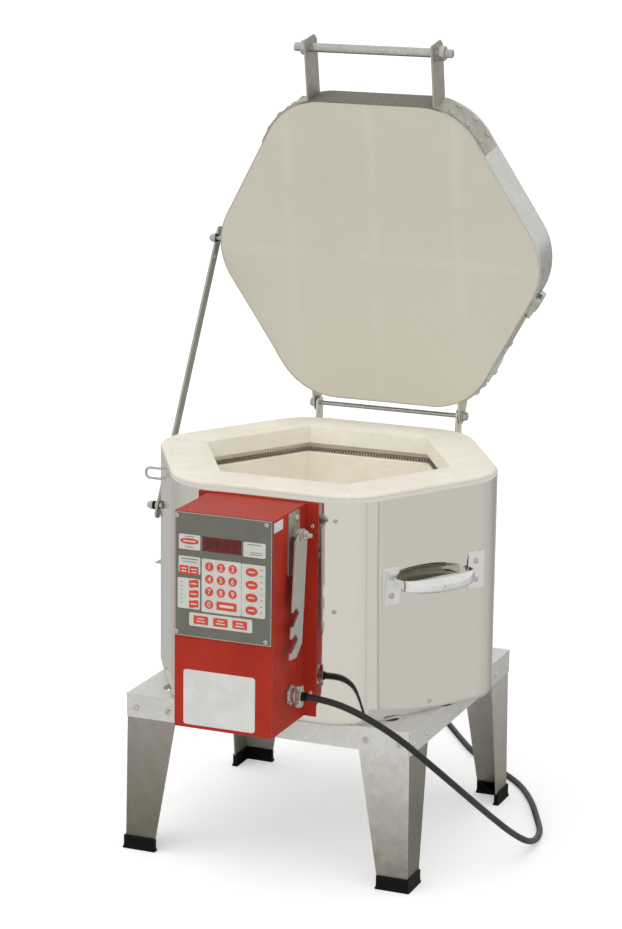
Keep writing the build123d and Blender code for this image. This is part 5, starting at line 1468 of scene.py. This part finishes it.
@dataclass(frozen=True)
class KilnBody:
    """The polished case, the bricks, the heating coils and their ends."""

    low: float = 218.2
    top: float = 518.6
    case_apothem: float = 217.1
    case_radius: float = 81.0
    brick_apothem: float = 216.2
    brick_radius: float = 80.1
    chamber: float = 152.4
    chamber_floor: float = 295.0
    course: float = 114.3
    groove: tuple[float, float] = (12.4, 10.0)
    grooves: tuple[float, ...] = (318.0, 369.2, 426.4, 492.8)
    coil_radius: float = 3.2
    coil_drop: float = 2.7
    wire_radius: float = 0.8
    coil_pitch: float = 4.2
    tail: tuple[float, float] = (12.0, 250.0)
    seams: tuple[float, float] = (-75.0, 105.0)
    corner_plates: float = 239.655

    def case(self) -> Surface:
        """The case sheet.

        Its reach is the rounded hexagon's plus a shallow wave of the sheet, which fades out at the
        edges, and a step at two seams where the sheet laps over itself.
        """
        turn = hexagon_turns(540)[None, :]
        share = np.linspace(0, 1, 46)[:, None]
        reach = hexagon_reach(turn, np.array(self.case_apothem), np.array(self.case_radius))
        fade = np.sin(np.pi * share) ** 0.5
        wave = (np.sin(turn * 9 + 2.2 * share * np.pi) + 0.6 * np.sin(turn * 17 - 3.1 * share * np.pi)
                + 0.35 * np.sin(turn * 31 + 7.0 * share))
        wave = 0.055 * fade * (wave + 1.95)
        lap = np.zeros_like(turn)
        for seam in self.seams:
            past = (np.degrees(turn) - seam) % 360.0
            step = 0.6 * np.clip(past / 0.12, 0, 1) * (1 - np.clip((past - 12) / 26, 0, 1))
            lap = lap + np.where(past < 40, step, 0)
        return spun(reach + wave + lap, turn, self.low + (self.top - self.low) * share)

    def brick_profile(self, low: float, high: float, rounded: bool) -> np.ndarray:
        """A course's section, as rows of (apothem, corner radius, height), going round once."""
        out, soft = self.brick_apothem, self.brick_radius
        rows = [(out, soft, low)]
        if rounded:
            for angle in np.linspace(0, math.pi / 2, 5):
                inset = 4.0 * (1 - math.cos(angle))
                rows.append((out - inset, soft - inset, high - 4.0 + 4.0 * math.sin(angle)))
        else:
            rows.append((out, soft, high))
        rows += [(self.chamber + 2.2, 0.01, high), (self.chamber + 0.65, 0.01, high - 0.65),
                 (self.chamber, 0.01, high - 2.2)]
        tall, deep = self.groove
        for level in sorted(self.grooves, reverse=True):
            if low < level < high:
                over, under = level + tall / 2, level - tall / 2
                rows += [(self.chamber + depth, 0.01, height) for depth, height in (
                    (0.0, over + 1.0), (1.0, over), (deep - 3.0, over), (deep, over - 3.0),
                    (deep, under + 2.0), (deep - 1.0, under + 0.2), (1.0, under), (0.0, under - 1.0))]
        rows.append((self.chamber, 0.01, low))
        return np.array(rows, float)

    def bricks(self, low: float, high: float, rounded: bool) -> Surface:
        """Six mitred bricks: the course's section along each side, a hair short of its mitres."""
        profile = self.brick_profile(low, high, rounded)
        made = []
        for side in range(6):
            share = np.linspace(-1, 1, 31)
            local = np.pi / 6 * (share - 0.11 * np.sin(np.pi * share)) * 0.9996
            turn = local + np.pi / 6 + side * np.pi / 3
            points = hexagon_ring(profile, turn).transpose(1, 0, 2)
            made.append(ring_stack(points))
        return joined(made)

    def heating_coil(self, level: float) -> Surface:
        """One coil of resistance wire in its groove.

        The centre line goes round the hexagon, its corners rounded by a running mean. The wire's
        own line winds round it: centre + r (cos p out + sin p up), where p grows by a turn for each
        pitch. A five-sided section is carried along that line.
        """
        apothem = self.chamber + self.groove[1] / 2
        reach = apothem / math.cos(math.pi / 6)
        corner = np.radians(np.arange(-1, 5) * 60.0)
        turns = np.stack((reach * np.cos(corner), reach * np.sin(corner)), -1)
        line = np.concatenate(([(9.0, -apothem)], turns, [(-9.0, -apothem)]))
        run = np.concatenate(([0], np.cumsum(np.linalg.norm(np.diff(line, axis=0), axis=1))))
        steps = int(run[-1] / self.coil_pitch * 9)
        place = np.linspace(0, run[-1], steps)
        centre = np.stack((np.interp(place, run, line[:, 0]), np.interp(place, run, line[:, 1])), -1)
        window = np.ones(25) / 25
        padded = np.pad(centre, ((12, 12), (0, 0)), mode="edge")
        centre = np.stack([np.convolve(padded[:, k], window, mode="valid") for k in (0, 1)], -1)
        out = centre / np.linalg.norm(centre, axis=1, keepdims=True)
        phase = 2 * np.pi * place / self.coil_pitch
        wound = self.coil_radius - self.wire_radius
        flat = centre + wound * np.cos(phase)[:, None] * out
        path = np.column_stack((flat, level - self.coil_drop + wound * np.sin(phase)))
        ahead = np.gradient(path, axis=0)
        ahead /= np.linalg.norm(ahead, axis=1, keepdims=True)
        axis = np.column_stack((centre, np.full(steps, level - self.coil_drop)))
        first = path - axis
        first /= np.linalg.norm(first, axis=1, keepdims=True)
        second = np.cross(ahead, first)
        around = np.linspace(0, 2 * np.pi, 5, endpoint=False)[None, :, None]
        ring = path[:, None, :] + self.wire_radius * (np.cos(around) * first[:, None, :]
                                                      + np.sin(around) * second[:, None, :])
        tails = []
        gap, reach = self.tail
        for x in (-gap, gap):
            rise = level - self.coil_drop
            tails.append(turned_rod((x, -apothem + 2.0, rise), (x, -reach, rise), 1.6, 0.3, 12))
            tails.append(turned_rod((x * 0.7, -apothem, rise), (x * 1.05, -apothem, rise), 1.4, 0.3, 12))
        return joined([ring_stack(ring), *tails])

    def case_screws(self) -> Surface:
        """The case's screws: one low on each bare side, the seams, the hinge posts and the left corner."""
        made = [fastener((self.case_apothem, 6.9, 230.7), (-1, 0, 0), SMALL_HEAD, 1.6, 0.8).turned(side)
                for side in (-150, -30, 30, 150)]
        centre = (self.case_apothem - self.case_radius) / math.cos(math.pi / 6)
        c, s = math.cos(math.radians(-15)), math.sin(math.radians(-15))
        for corner in (-60, 120):
            for level in (250.0, 370.0, 490.0):
                seat = (centre + (self.case_radius + 0.2) * c, (self.case_radius + 0.2) * s, level)
                made.append(fastener(seat, (-c, -s, 0), SMALL_HEAD, 1.6, 0.8).turned(corner))
        made += [fastener((x, 220.1, z), (0, -1, 0), PAN_HEAD, 2.2, 3.7)
                 for x in (-76.0, -64.0, 64.0, 76.0) for z in (467.0, 503.0)]
        made += [fastener((-self.corner_plates, y, z), (1, 0, 0), SMALL_HEAD, 1.6, 2.2)
                 for y, z in ((0.0, 404.0), (0.0, 386.0), (-5.0, 500.0), (-5.0, 484.0))]
        return joined(made)

    def build(self) -> None:
        """Makes the body."""
        Maker.piece("case_sheet", self.case(), CASE_STEEL, ["case_wrap"], wall=0.6)
        Maker.softened("bottom_sheet", ZINC_SHEET, Softening(0.2, 1))
        Maker.softened("floor_slab", BRICK, Softening(1.0))
        joint = self.chamber_floor + self.course
        lower = self.bricks(self.chamber_floor + 0.1, joint - 0.1, False)
        Maker.piece("lower_bricks", lower, BRICK, ["wall_bricks_lower"], Softening(0.15, 1, 40))
        upper = self.bricks(joint, joint + self.course, True)
        Maker.piece("upper_bricks", upper, BRICK, ["wall_bricks_upper"], Softening(0.15, 1, 50))
        coils = [self.heating_coil(level) for level in self.grooves]
        Maker.piece("wound_coils", joined(coils), FIRED_WIRE, ["heating_elements"])
        Maker.softened("feedthrough_tubes", GLAZED, Softening(0.3, 1, 40))
        Maker.softened("thermocouple", GLAZED, Softening(0.4, 2, 40))
        Maker.piece("case_fixings", self.case_screws(), PLATED_HARDWARE, ["case_screws"])


@dataclass(frozen=True)
class ControlBox:
    """The red box with its faceplate, printed keypad and the parts inside.

    Attributes:
        face: the faceplate's front, on Y.
        key_back: the front of the white panels, where the keys' ink starts.
        ink: the ink's thickness.
        plate: the faceplate's left and right sides on X, and its low and high sides on Z.
        columns: the round digit keys' columns, on X.
        rows: their rows, on Z.
        round_key: their diameter.
        zero: the last round key's middle on X and Z, as are the other keys' middles below.
    """

    face: float = -323.6
    key_back: float = -323.9
    ink: float = 0.3
    plate: tuple[float, ...] = (-73.3, 58.3, 348.6, 509.5)
    columns: tuple[float, ...] = (-26.4, -10.4, 5.6)
    rows: tuple[float, ...] = (442.6, 426.4, 410.2)
    round_key: float = 11.5
    zero: tuple[float, float] = (-26.7, 393.4)
    wide_key: tuple[float, float] = (-2.5, 393.4)
    heading: tuple[float, float] = (-53.8, 472.6)
    squares: tuple[tuple[float, float], ...] = ((-61.3, 435.7), (-47.5, 435.3))
    oval_column: float = 31.5
    oval_rows: tuple[float, ...] = (442.0, 425.5, 408.9, 392.6)
    flag_column: float = -47.6
    flag_rows: tuple[float, ...] = (418.0, 404.7, 391.6)
    low_columns: tuple[float, ...] = (-37.8, -10.7, 15.7)
    low_row: float = 371.6

    def keys(self) -> Surface:
        """The printed keys: round digits, ovals, rectangles and three flags with wavy edges."""
        round_key = superellipse(self.round_key, self.round_key, 2.0)
        oval, low = superellipse(16.4, 11.0, 2.2), superellipse(20.0, 11.0, 14.0)
        square = superellipse(12.4, 11.4, 12.0)
        flag = superellipse(13.0, 9.6, 9.0, 56)
        flag = flag + np.stack((np.zeros(56), 0.8 * np.sin(flag[:, 0] / 13.0 * 2 * np.pi)), -1)
        keys = [(round_key, x, z) for x in self.columns for z in self.rows]
        keys += [(round_key, *self.zero), (superellipse(27.6, 11.0, 12.0), *self.wide_key),
                 (superellipse(25.5, 7.4, 2.4), *self.heading)]
        keys += [(oval, self.oval_column, z) for z in self.oval_rows]
        keys += [(square, x, z - 0.6) for x, z in self.squares]
        keys += [(low, x, self.low_row) for x in self.low_columns]
        keys += [(flag, self.flag_column, z) for z in self.flag_rows]
        return joined([raised_pad(outline, x, z, self.key_back, self.ink) for outline, x, z in keys])

    def legends(self) -> Surface:
        """Short printed bars where a keypad has its wording."""
        bars = [(self.oval_column, z, 8.6, 1.7) for z in self.oval_rows]
        bars += [(self.flag_column, z, 8.6, 1.6) for z in self.flag_rows]
        for x, z in self.squares:
            bars += [(x, z + 1.4, 8.4, 1.5), (x, z - 2.4, 6.6, 1.5)]
        for x in self.low_columns:
            bars += [(x, self.low_row + 1.8, 9.5, 1.5), (x, self.low_row - 1.9, 12.6, 1.5)]
        bars += [(*self.heading, 17.5, 1.8), (*self.wide_key, 20.0, 3.4)]
        return printed_bars(bars, self.key_back - self.ink, 0.06)

    def panel_legends(self) -> Surface:
        """Fine grey rules printed on the white panels, where the real one has small print."""
        bars = [(-53.6, 478.6, 13.0, 0.9), (-53.6, 464.9, 12.0, 0.9), (34.8, 477.4, 20.0, 0.9),
                (37.6, 467.6, 17.0, 0.8), (36.8, 464.9, 18.0, 0.8), (-53.8, 449.6, 24.0, 1.2),
                (-53.8, 445.9, 20.0, 0.9)]
        bars += [(-64.4, 419.0 - 5.4 * k, 3.2, 0.8) for k in range(6)]
        bars += [(44.8, 446.0 - 7.9 * k, 3.0, 1.0) for k in range(8)]
        return printed_bars(bars, self.key_back, 0.05, steps=16)

    def border(self) -> Surface:
        """The bright bare edge round the faceplate: four thin strips along its sides."""
        left, right, low, high = self.plate
        wide = 0.7
        strips = [((left + right) / 2, z, right - left, wide) for z in (low + wide / 2, high - wide / 2)]
        strips += [(x, (low + high) / 2, wide, high - low - 2 * wide)
                   for x in (left + wide / 2, right - wide / 2)]
        return printed_bars(strips, self.face, 0.08, 60.0, 24)

    def digits(self) -> Surface:
        """The ten digits, from Blender's own plain letters, one on each round key."""
        spots = {str(3 * r + c + 1): (x, z)
                 for r, z in enumerate(self.rows) for c, x in enumerate(self.columns)}
        spots["0"] = self.zero
        thickness = 0.03
        made = []
        for text, (x, z) in spots.items():
            curve = bpy.data.curves.new("digit", "FONT")
            curve.body = text
            curve.size = 9.6
            curve.align_x = "CENTER"
            curve.align_y = "CENTER"
            curve.offset = 0.12
            curve.extrude = thickness
            curve.resolution_u = 4
            holder = bpy.data.objects.new("digit", curve)
            mesh = bpy.data.meshes.new_from_object(holder)
            points = np.empty(len(mesh.vertices) * 3)
            mesh.vertices.foreach_get("co", points)
            points = points.reshape(-1, 3)
            points = points - (points.min(0) + points.max(0)) / 2
            depth = self.key_back - self.ink - thickness - points[:, 2]
            flat = np.stack((points[:, 0] + x, depth, points[:, 1] + z), -1)
            made.append(Surface(flat, [np.array([p.vertices[:]]) for p in mesh.polygons]))
            bpy.data.objects.remove(holder)
            bpy.data.curves.remove(curve)
            bpy.data.meshes.remove(mesh)
        return joined(made)

    def screws(self) -> Surface:
        """The faceplate's, the back plate's and the prop bracket's screws."""
        made = [fastener((x, self.face, z), (0, 1, 0), (3.3, 1.7), 1.6, 2.8)
                for x in (-71.5, 51.0) for z in (353.4, 504.7)]
        made += [fastener((x, -218.6, z), (0, 1, 0), SMALL_HEAD, 1.6, 2.2)
                 for x in (-82.5, 69.5) for z in (260.0, 481.2)]
        made += [fastener((62.3, y, z), (-1, 0, 0), PAN_HEAD, 1.6, 3.5)
                 for y, z in ((-254.0, 500.0), (-259.5, 439.0))]
        return joined(made)

    def build(self) -> None:
        """Makes the box."""
        for node, finish, soft in (("box_back_plate", RED_ENAMEL, Softening(0.4)),
                                   ("control_box", RED_ENAMEL, Softening(0.8, 3)),
                                   ("control_faceplate", GREY_PANEL, Softening(0.35)),
                                   ("display_window", WINDOW, Softening(0.15, 1)),
                                   ("keypad_panels", WHITE_INK, Softening(0.08, 1)),
                                   ("blank_plates", BLANK_FILM, Softening(0.12)),
                                   ("controller_board", BOARD, Softening(0.2, 1)),
                                   ("display_module", BLACK_MOULDING, Softening(0.4)),
                                   ("power_relays", BLACK_MOULDING, Softening(0.8)),
                                   ("transformer", BLACK_MOULDING, Softening(0.6)),
                                   ("terminal_block", WHITE_MOULDING, Softening(0.4))):
            Maker.softened(node, finish, soft)
        Maker.piece("printed_keys", self.keys(), RED_INK, ["keypad_keys"])
        Maker.piece("key_legends", self.legends(), WHITE_INK)
        Maker.piece("key_digits", self.digits(), WHITE_INK)
        Maker.piece("panel_rules", self.panel_legends(), GREY_PANEL)
        Maker.piece("plate_border", self.border(), PLATED_HARDWARE)
        Maker.piece("box_fixings", self.screws(), PLATED_HARDWARE, ["box_screws"])


@dataclass(frozen=True)
class VentProp:
    """The notched bar that holds the lid ajar, with its bracket and bolt."""

    pivot: tuple[float, float] = (-260.5, 480.0)

    def bolt(self) -> Surface:
        """The bolt with its spacer nut, two washers and outer nut."""
        line = BoltLine(1, *self.pivot)
        return joined([line.thread(62.3, 86.0), line.nut(62.3, 68.2), line.washer(68.2, 69.7),
                       line.washer(73.3, 74.8), line.nut(74.8, 79.8)])

    def build(self) -> None:
        """Makes the prop."""
        Maker.softened("prop_bracket", PLATED_BAR, Softening(0.35))
        Maker.softened("vent_prop", PROP_ZINC, Softening(0.35), Body.PROP)
        Maker.piece("prop_bolt", self.bolt(), PLATED_HARDWARE, ["prop_pivot_bolt"])


@dataclass(frozen=True)
class CarryHandles:
    """The two chromed carry handles: end plates, a bowed pressed grip and rivets.

    Attributes:
        face: the case's face, from the axis.
        height: the handles' middle.
        span: half the grip's length.
        plate: an end plate's height and width.
        ear: how far an end plate's middle is past the grip's end.
        reach: how far the grip stands out.
        rim: the grip's first height over the case.
    """

    face: float = 217.1
    height: float = 398.0
    span: float = 57.75
    plate: tuple[float, float] = (50.0, 28.0)
    ear: float = 14.0
    reach: float = 40.0
    rim: float = 1.2

    def end_plate(self, along: float) -> Surface:
        """One end plate: a rounded rectangle raised by two millimetres, its rim drawn in."""
        outline = superellipse(self.plate[1], self.plate[0], 14.0, 64)
        steps = np.array(((1.0, 0.0), (1.0, 1.3), (0.985, 1.9), (0.95, 2.0)))
        rows = outline[None, :, :] * steps[:, None, :1]
        radial = np.broadcast_to(self.face + steps[:, None, 1], rows.shape[:2])
        return ring_stack(np.stack((radial, rows[..., 0] + along, rows[..., 1] + self.height), -1))

    def grip(self, offset: float, inset: float = 0.0) -> Surface:
        """The bowed grip, an open pressed channel, or, at an inset, the darker lining inside it that paints
        the shade in the channel.

        Along the handle its reach is a superellipse of the distance from its middle, and across it
        the section is half an ellipse, taller and deeper in the middle than at the ends.
        """
        share = ((1 - np.cos(np.linspace(0, np.pi, 61))) / 2)[:, None]
        bow = np.clip(1 - np.abs(2 * share - 1) ** 2.5, 0, 1) ** 0.52
        tall = 13.5 + 8.5 * np.sin(np.pi * share) ** 0.8
        deep = 3.0 + 8.0 * np.sin(np.pi * share) ** 0.7
        across = np.linspace(-np.pi / 2, np.pi / 2, 25)[None, :]
        radial = self.face + self.rim + (self.reach - self.rim - deep * (1 - np.cos(across)) - inset) * bow
        along = offset + (2 * share - 1) * (self.span + 2.0)
        rise = self.height + (tall / 2 - inset) * np.sin(across)
        return sheet_grid(np.stack(np.broadcast_arrays(radial, along, rise), -1))

    def rivets(self, offset: float) -> Surface:
        """The four rivets of one handle."""
        ends = (offset - self.span - 14.0, offset + self.span + 13.0)
        seats = [(self.face + 2.0, along, self.height + rise) for along in ends for rise in (-12.4, 12.4)]
        return joined([fastener(seat, (-1, 0, 0), (4.0, 2.0), 2.2, 2.7, Drive.NONE) for seat in seats])

    def build(self) -> None:
        """Makes both handles."""
        rivets = []
        for name, side, offset in (("right", -30, 8.75), ("left", 150, -8.75)):
            plates = joined([self.end_plate(offset + end * (self.span + self.ear)) for end in (-1, 1)])
            Maker.piece("handle_plates_" + name, plates.turned(side), BRIGHT_CHROME)
            Maker.piece("handle_grip_" + name, self.grip(offset).turned(side), BRIGHT_CHROME,
                        ["carry_handle_" + name], Softening(0.3, 2, 50), 1.4)
            # The darker lining inside the grip is painted shade.
            Maker.piece("handle_inside_" + name, self.grip(offset, 1.6).turned(side), GRIP_SHADE_LINING, wall=0.3)
            rivets.append(self.rivets(offset).turned(side))
        Maker.piece("handle_rivet_heads", joined(rivets), PLATED_HARDWARE, ["handle_rivets"])


@dataclass(frozen=True)
class Hinge:
    """The two posts behind the case, the rod and its nuts."""

    half: float = 119.25
    shank: float = 112.0

    def build(self) -> None:
        """Makes the hinge."""
        y, z = HINGE[1], HINGE[2]
        rod, nuts = [turned_rod((-self.shank, y, z), (self.shank, y, z), 3.175, 0.2)], []
        for side in (-1, 1):
            line = BoltLine(side, y, z)
            rod.append(line.thread(111.5, self.half, 3.1))
            nuts += [line.washer(111.3, 112.8, bore=3.2), line.nut(112.8, 118.4, bore=2.7)]
        for side in ("right", "left"):
            Maker.softened("hinge_post_" + side, POST_ZINC, Softening(0.35))
        Maker.piece("hinge_bar", joined(rod), PLATED_HARDWARE, ["hinge_rod"])
        Maker.piece("hinge_bar_nuts", joined(nuts), PLATED_HARDWARE, ["hinge_nuts"])


@dataclass(frozen=True)
class Lid:
    """The brick slab in its rim band, with straps, clamps, handle rod and stud.

    Attributes:
        hot_face: the height of the slab's lower face, with the lid shut.
        thickness: the slab's and the band's height.
        apothem: from the axis to the middle of a side of the band.
        radius: the band's corner radius.
        wall: from the band's face to the slab's.
        rod: the handle rod's place on Y and Z, with the lid shut.
        stud: the corner stud's.
    """

    hot_face: float = 523.9
    thickness: float = 57.0
    apothem: float = 217.5
    radius: float = 94.0
    wall: float = 0.75
    rod: tuple[float, float] = (-285.4, 548.6)
    stud: tuple[float, float] = (-2.2, 544.5)

    def slab(self) -> Surface:
        """The slab, its two rims rounded by quarter circles of two millimetres."""
        soft = np.linspace(0, np.pi / 2, 5)
        inset = 2.0 * (1 - np.sin(soft))
        rise = 2.0 * (1 - np.cos(soft))
        low = np.stack((inset, self.hot_face + rise), -1)
        high = np.stack((inset[::-1], self.hot_face + self.thickness - rise[::-1]), -1)
        rim = np.concatenate((low, high))
        profile = np.column_stack((self.apothem - self.wall - rim[:, 0], self.radius - self.wall - rim[:, 0],
                                   rim[:, 1]))
        halved = profile[[0, -1]] * (0.5, 0.5, 1.0)
        profile = np.concatenate((halved[:1], profile, halved[1:]))
        return ring_stack(hexagon_ring(profile, hexagon_turns(360)))

    def band(self) -> Surface:
        """The rim band: the rounded hexagon's reach plus a shallow wave and a rolled edge."""
        turn = hexagon_turns(480)[None, :]
        share = np.linspace(0, 1, 15)[:, None]
        wave = 0.05 * np.sin(np.pi * share) * (np.sin(turn * 13 + 4 * share) + 1.2)
        edge = -0.5 * np.abs(2 * share - 1) ** 14
        reach = hexagon_reach(turn, np.array(self.apothem), np.array(self.radius)) + wave + edge
        return spun(reach, turn, self.hot_face + self.thickness * share)

    def screws(self) -> Surface:
        """The straps' and clamps' screws."""
        centre = (self.apothem - self.radius) / math.cos(math.pi / 6)
        cx, cy = centre * 0.5, centre * math.sin(math.pi / 3)
        out = self.radius + 2.0
        made = []
        for turn in (30.5, 46.5, 63.0):
            c, s = math.cos(math.radians(turn)), math.sin(math.radians(turn))
            for z in (533.9, 563.9):
                for end in (-1, 1):
                    seat = (cx + out * c, end * (cy + out * s), z)
                    head = fastener(seat, (-c, -end * s, 0), PAN_HEAD, 1.6, 8.7)
                    made += [head, head.mirrored()]
        for rise in (11.0, 38.0):
            made.append(fastener((self.apothem + 0.8, 21.0, self.hot_face + rise), (-1, 0, 0), PAN_HEAD, 1.6,
                                 7.5).turned(30))
        return joined(made)

    def handle_rod(self) -> tuple[Surface, Surface]:
        """The handle rod, and its washers and nuts."""
        y, z = self.rod
        bar, nuts = [turned_rod((-104, y, z), (104, y, z), 6.35, 0.3)], []
        for side in (-1, 1):
            line = BoltLine(side, y, z)
            bar.append(line.thread(103.5, 114.3, 6.2, 1.5, 32))
            nuts += [line.washer(92.5, 94.0, 12.1, 6.3), line.nut(94.0, 104.0, 19.05, 5.6)]
        return joined(bar), joined(nuts)

    def stud_stack(self) -> Surface:
        """The stud on the left corner: spacer nut, spacer, washer, nut and acorn nut."""
        edge = (self.apothem - self.radius) / math.cos(math.pi / 6) + self.radius
        line = BoltLine(-1, *self.stud)
        return joined([line.thread(edge - 14.0, 256.4), line.nut(edge, edge + 5.0),
                       line.washer(edge + 5.0, 247.2, 5.1), line.washer(250.9, 252.4), line.nut(252.4, 257.4),
                       line.acorn(257.3, (-0.6, 0.4, 2.2, 3.8, 4.6, 4.7))])

    def build(self) -> None:
        """Makes the lid, standing open."""
        for side in ("right", "left"):
            Maker.softened("handle_strap_" + side, PLATED_BAR, Softening(0.4), Body.LID)
            Maker.softened("hinge_strap_" + side, POST_ZINC, Softening(0.4), Body.LID)
        Maker.softened("rim_clamps", PLATED_HARDWARE, Softening(0.25), Body.LID)
        bar, nuts = self.handle_rod()
        for name, surface, finish, node, wall in (
                ("brick_slab", self.slab(), HOT_FACE_COAT, "lid_slab", 0.0),
                ("rim_band", self.band(), RIM_STEEL, "lid_band", 0.65),
                ("strap_fixings", self.screws(), PLATED_HARDWARE, "strap_screws", 0.0),
                ("handle_bar", bar, PLATED_HARDWARE, "lid_handle_rod", 0.0),
                ("handle_bar_nuts", nuts, PLATED_HARDWARE, "handle_rod_nuts", 0.0),
                ("corner_stud", self.stud_stack(), PLATED_HARDWARE, "lid_stud", 0.0)):
            Maker.piece(name, surface.lid_open(), finish, [node], wall=wall, body=Body.LID)


@dataclass(frozen=True)
class LeftCorner:
    """The support arm, its pivot, the slotted rest strip and the wire ring."""

    pivot_height: float = 425.0
    edge: float = 238.155

    def build(self) -> None:
        """Makes the left corner; the pivot bolt carries a nut, a spacer, a collar and an acorn nut."""
        line = BoltLine(-1, 0.0, self.pivot_height)
        edge = self.edge
        bolt = joined([line.thread(edge - 0.8, 261.2), line.nut(edge, edge + 5.0),
                       line.washer(edge + 5.0, 247.35, 5.5), line.washer(250.65, 253.15, 6.3),
                       line.nut(257.65, 262.15), line.acorn(262.0, (-0.6, 0.4, 2.4, 4.0, 4.9, 5.0))])
        Maker.piece("arm_bolt", bolt, PLATED_HARDWARE, ["arm_pivot_bolt"])
        Maker.piece("friction_disc", line.washer(253.15, 257.65, 6.0), RUBBER, ["friction_washer"],
                    Softening(0.4, 2, 40))
        Maker.softened("support_arm", PLATED_BAR, Softening(0.4), Body.ARM)
        Maker.softened("arm_rest_strip", PLATED_BAR, Softening(0.3))
        Maker.softened("wire_ring", PLATED_HARDWARE, Softening(0.2, 2, 50))


def main() -> None:
    """Builds the scene in order."""
    logging.basicConfig(level=logging.INFO, format="%(name)s: %(message)s")
    bpy.context.scene.view_settings.view_transform = "Standard"
    studio = Studio()
    studio.camera()
    for kind in (PowerCord, Stand, KilnBody, ControlBox, VentProp, CarryHandles, Hinge, Lid, LeftCorner):
        kind().build()
        log.info("%s is built", kind.__name__)
    studio.surroundings()
    studio.lights()
    studio.floor()


if __name__ == "__main__":
    main()
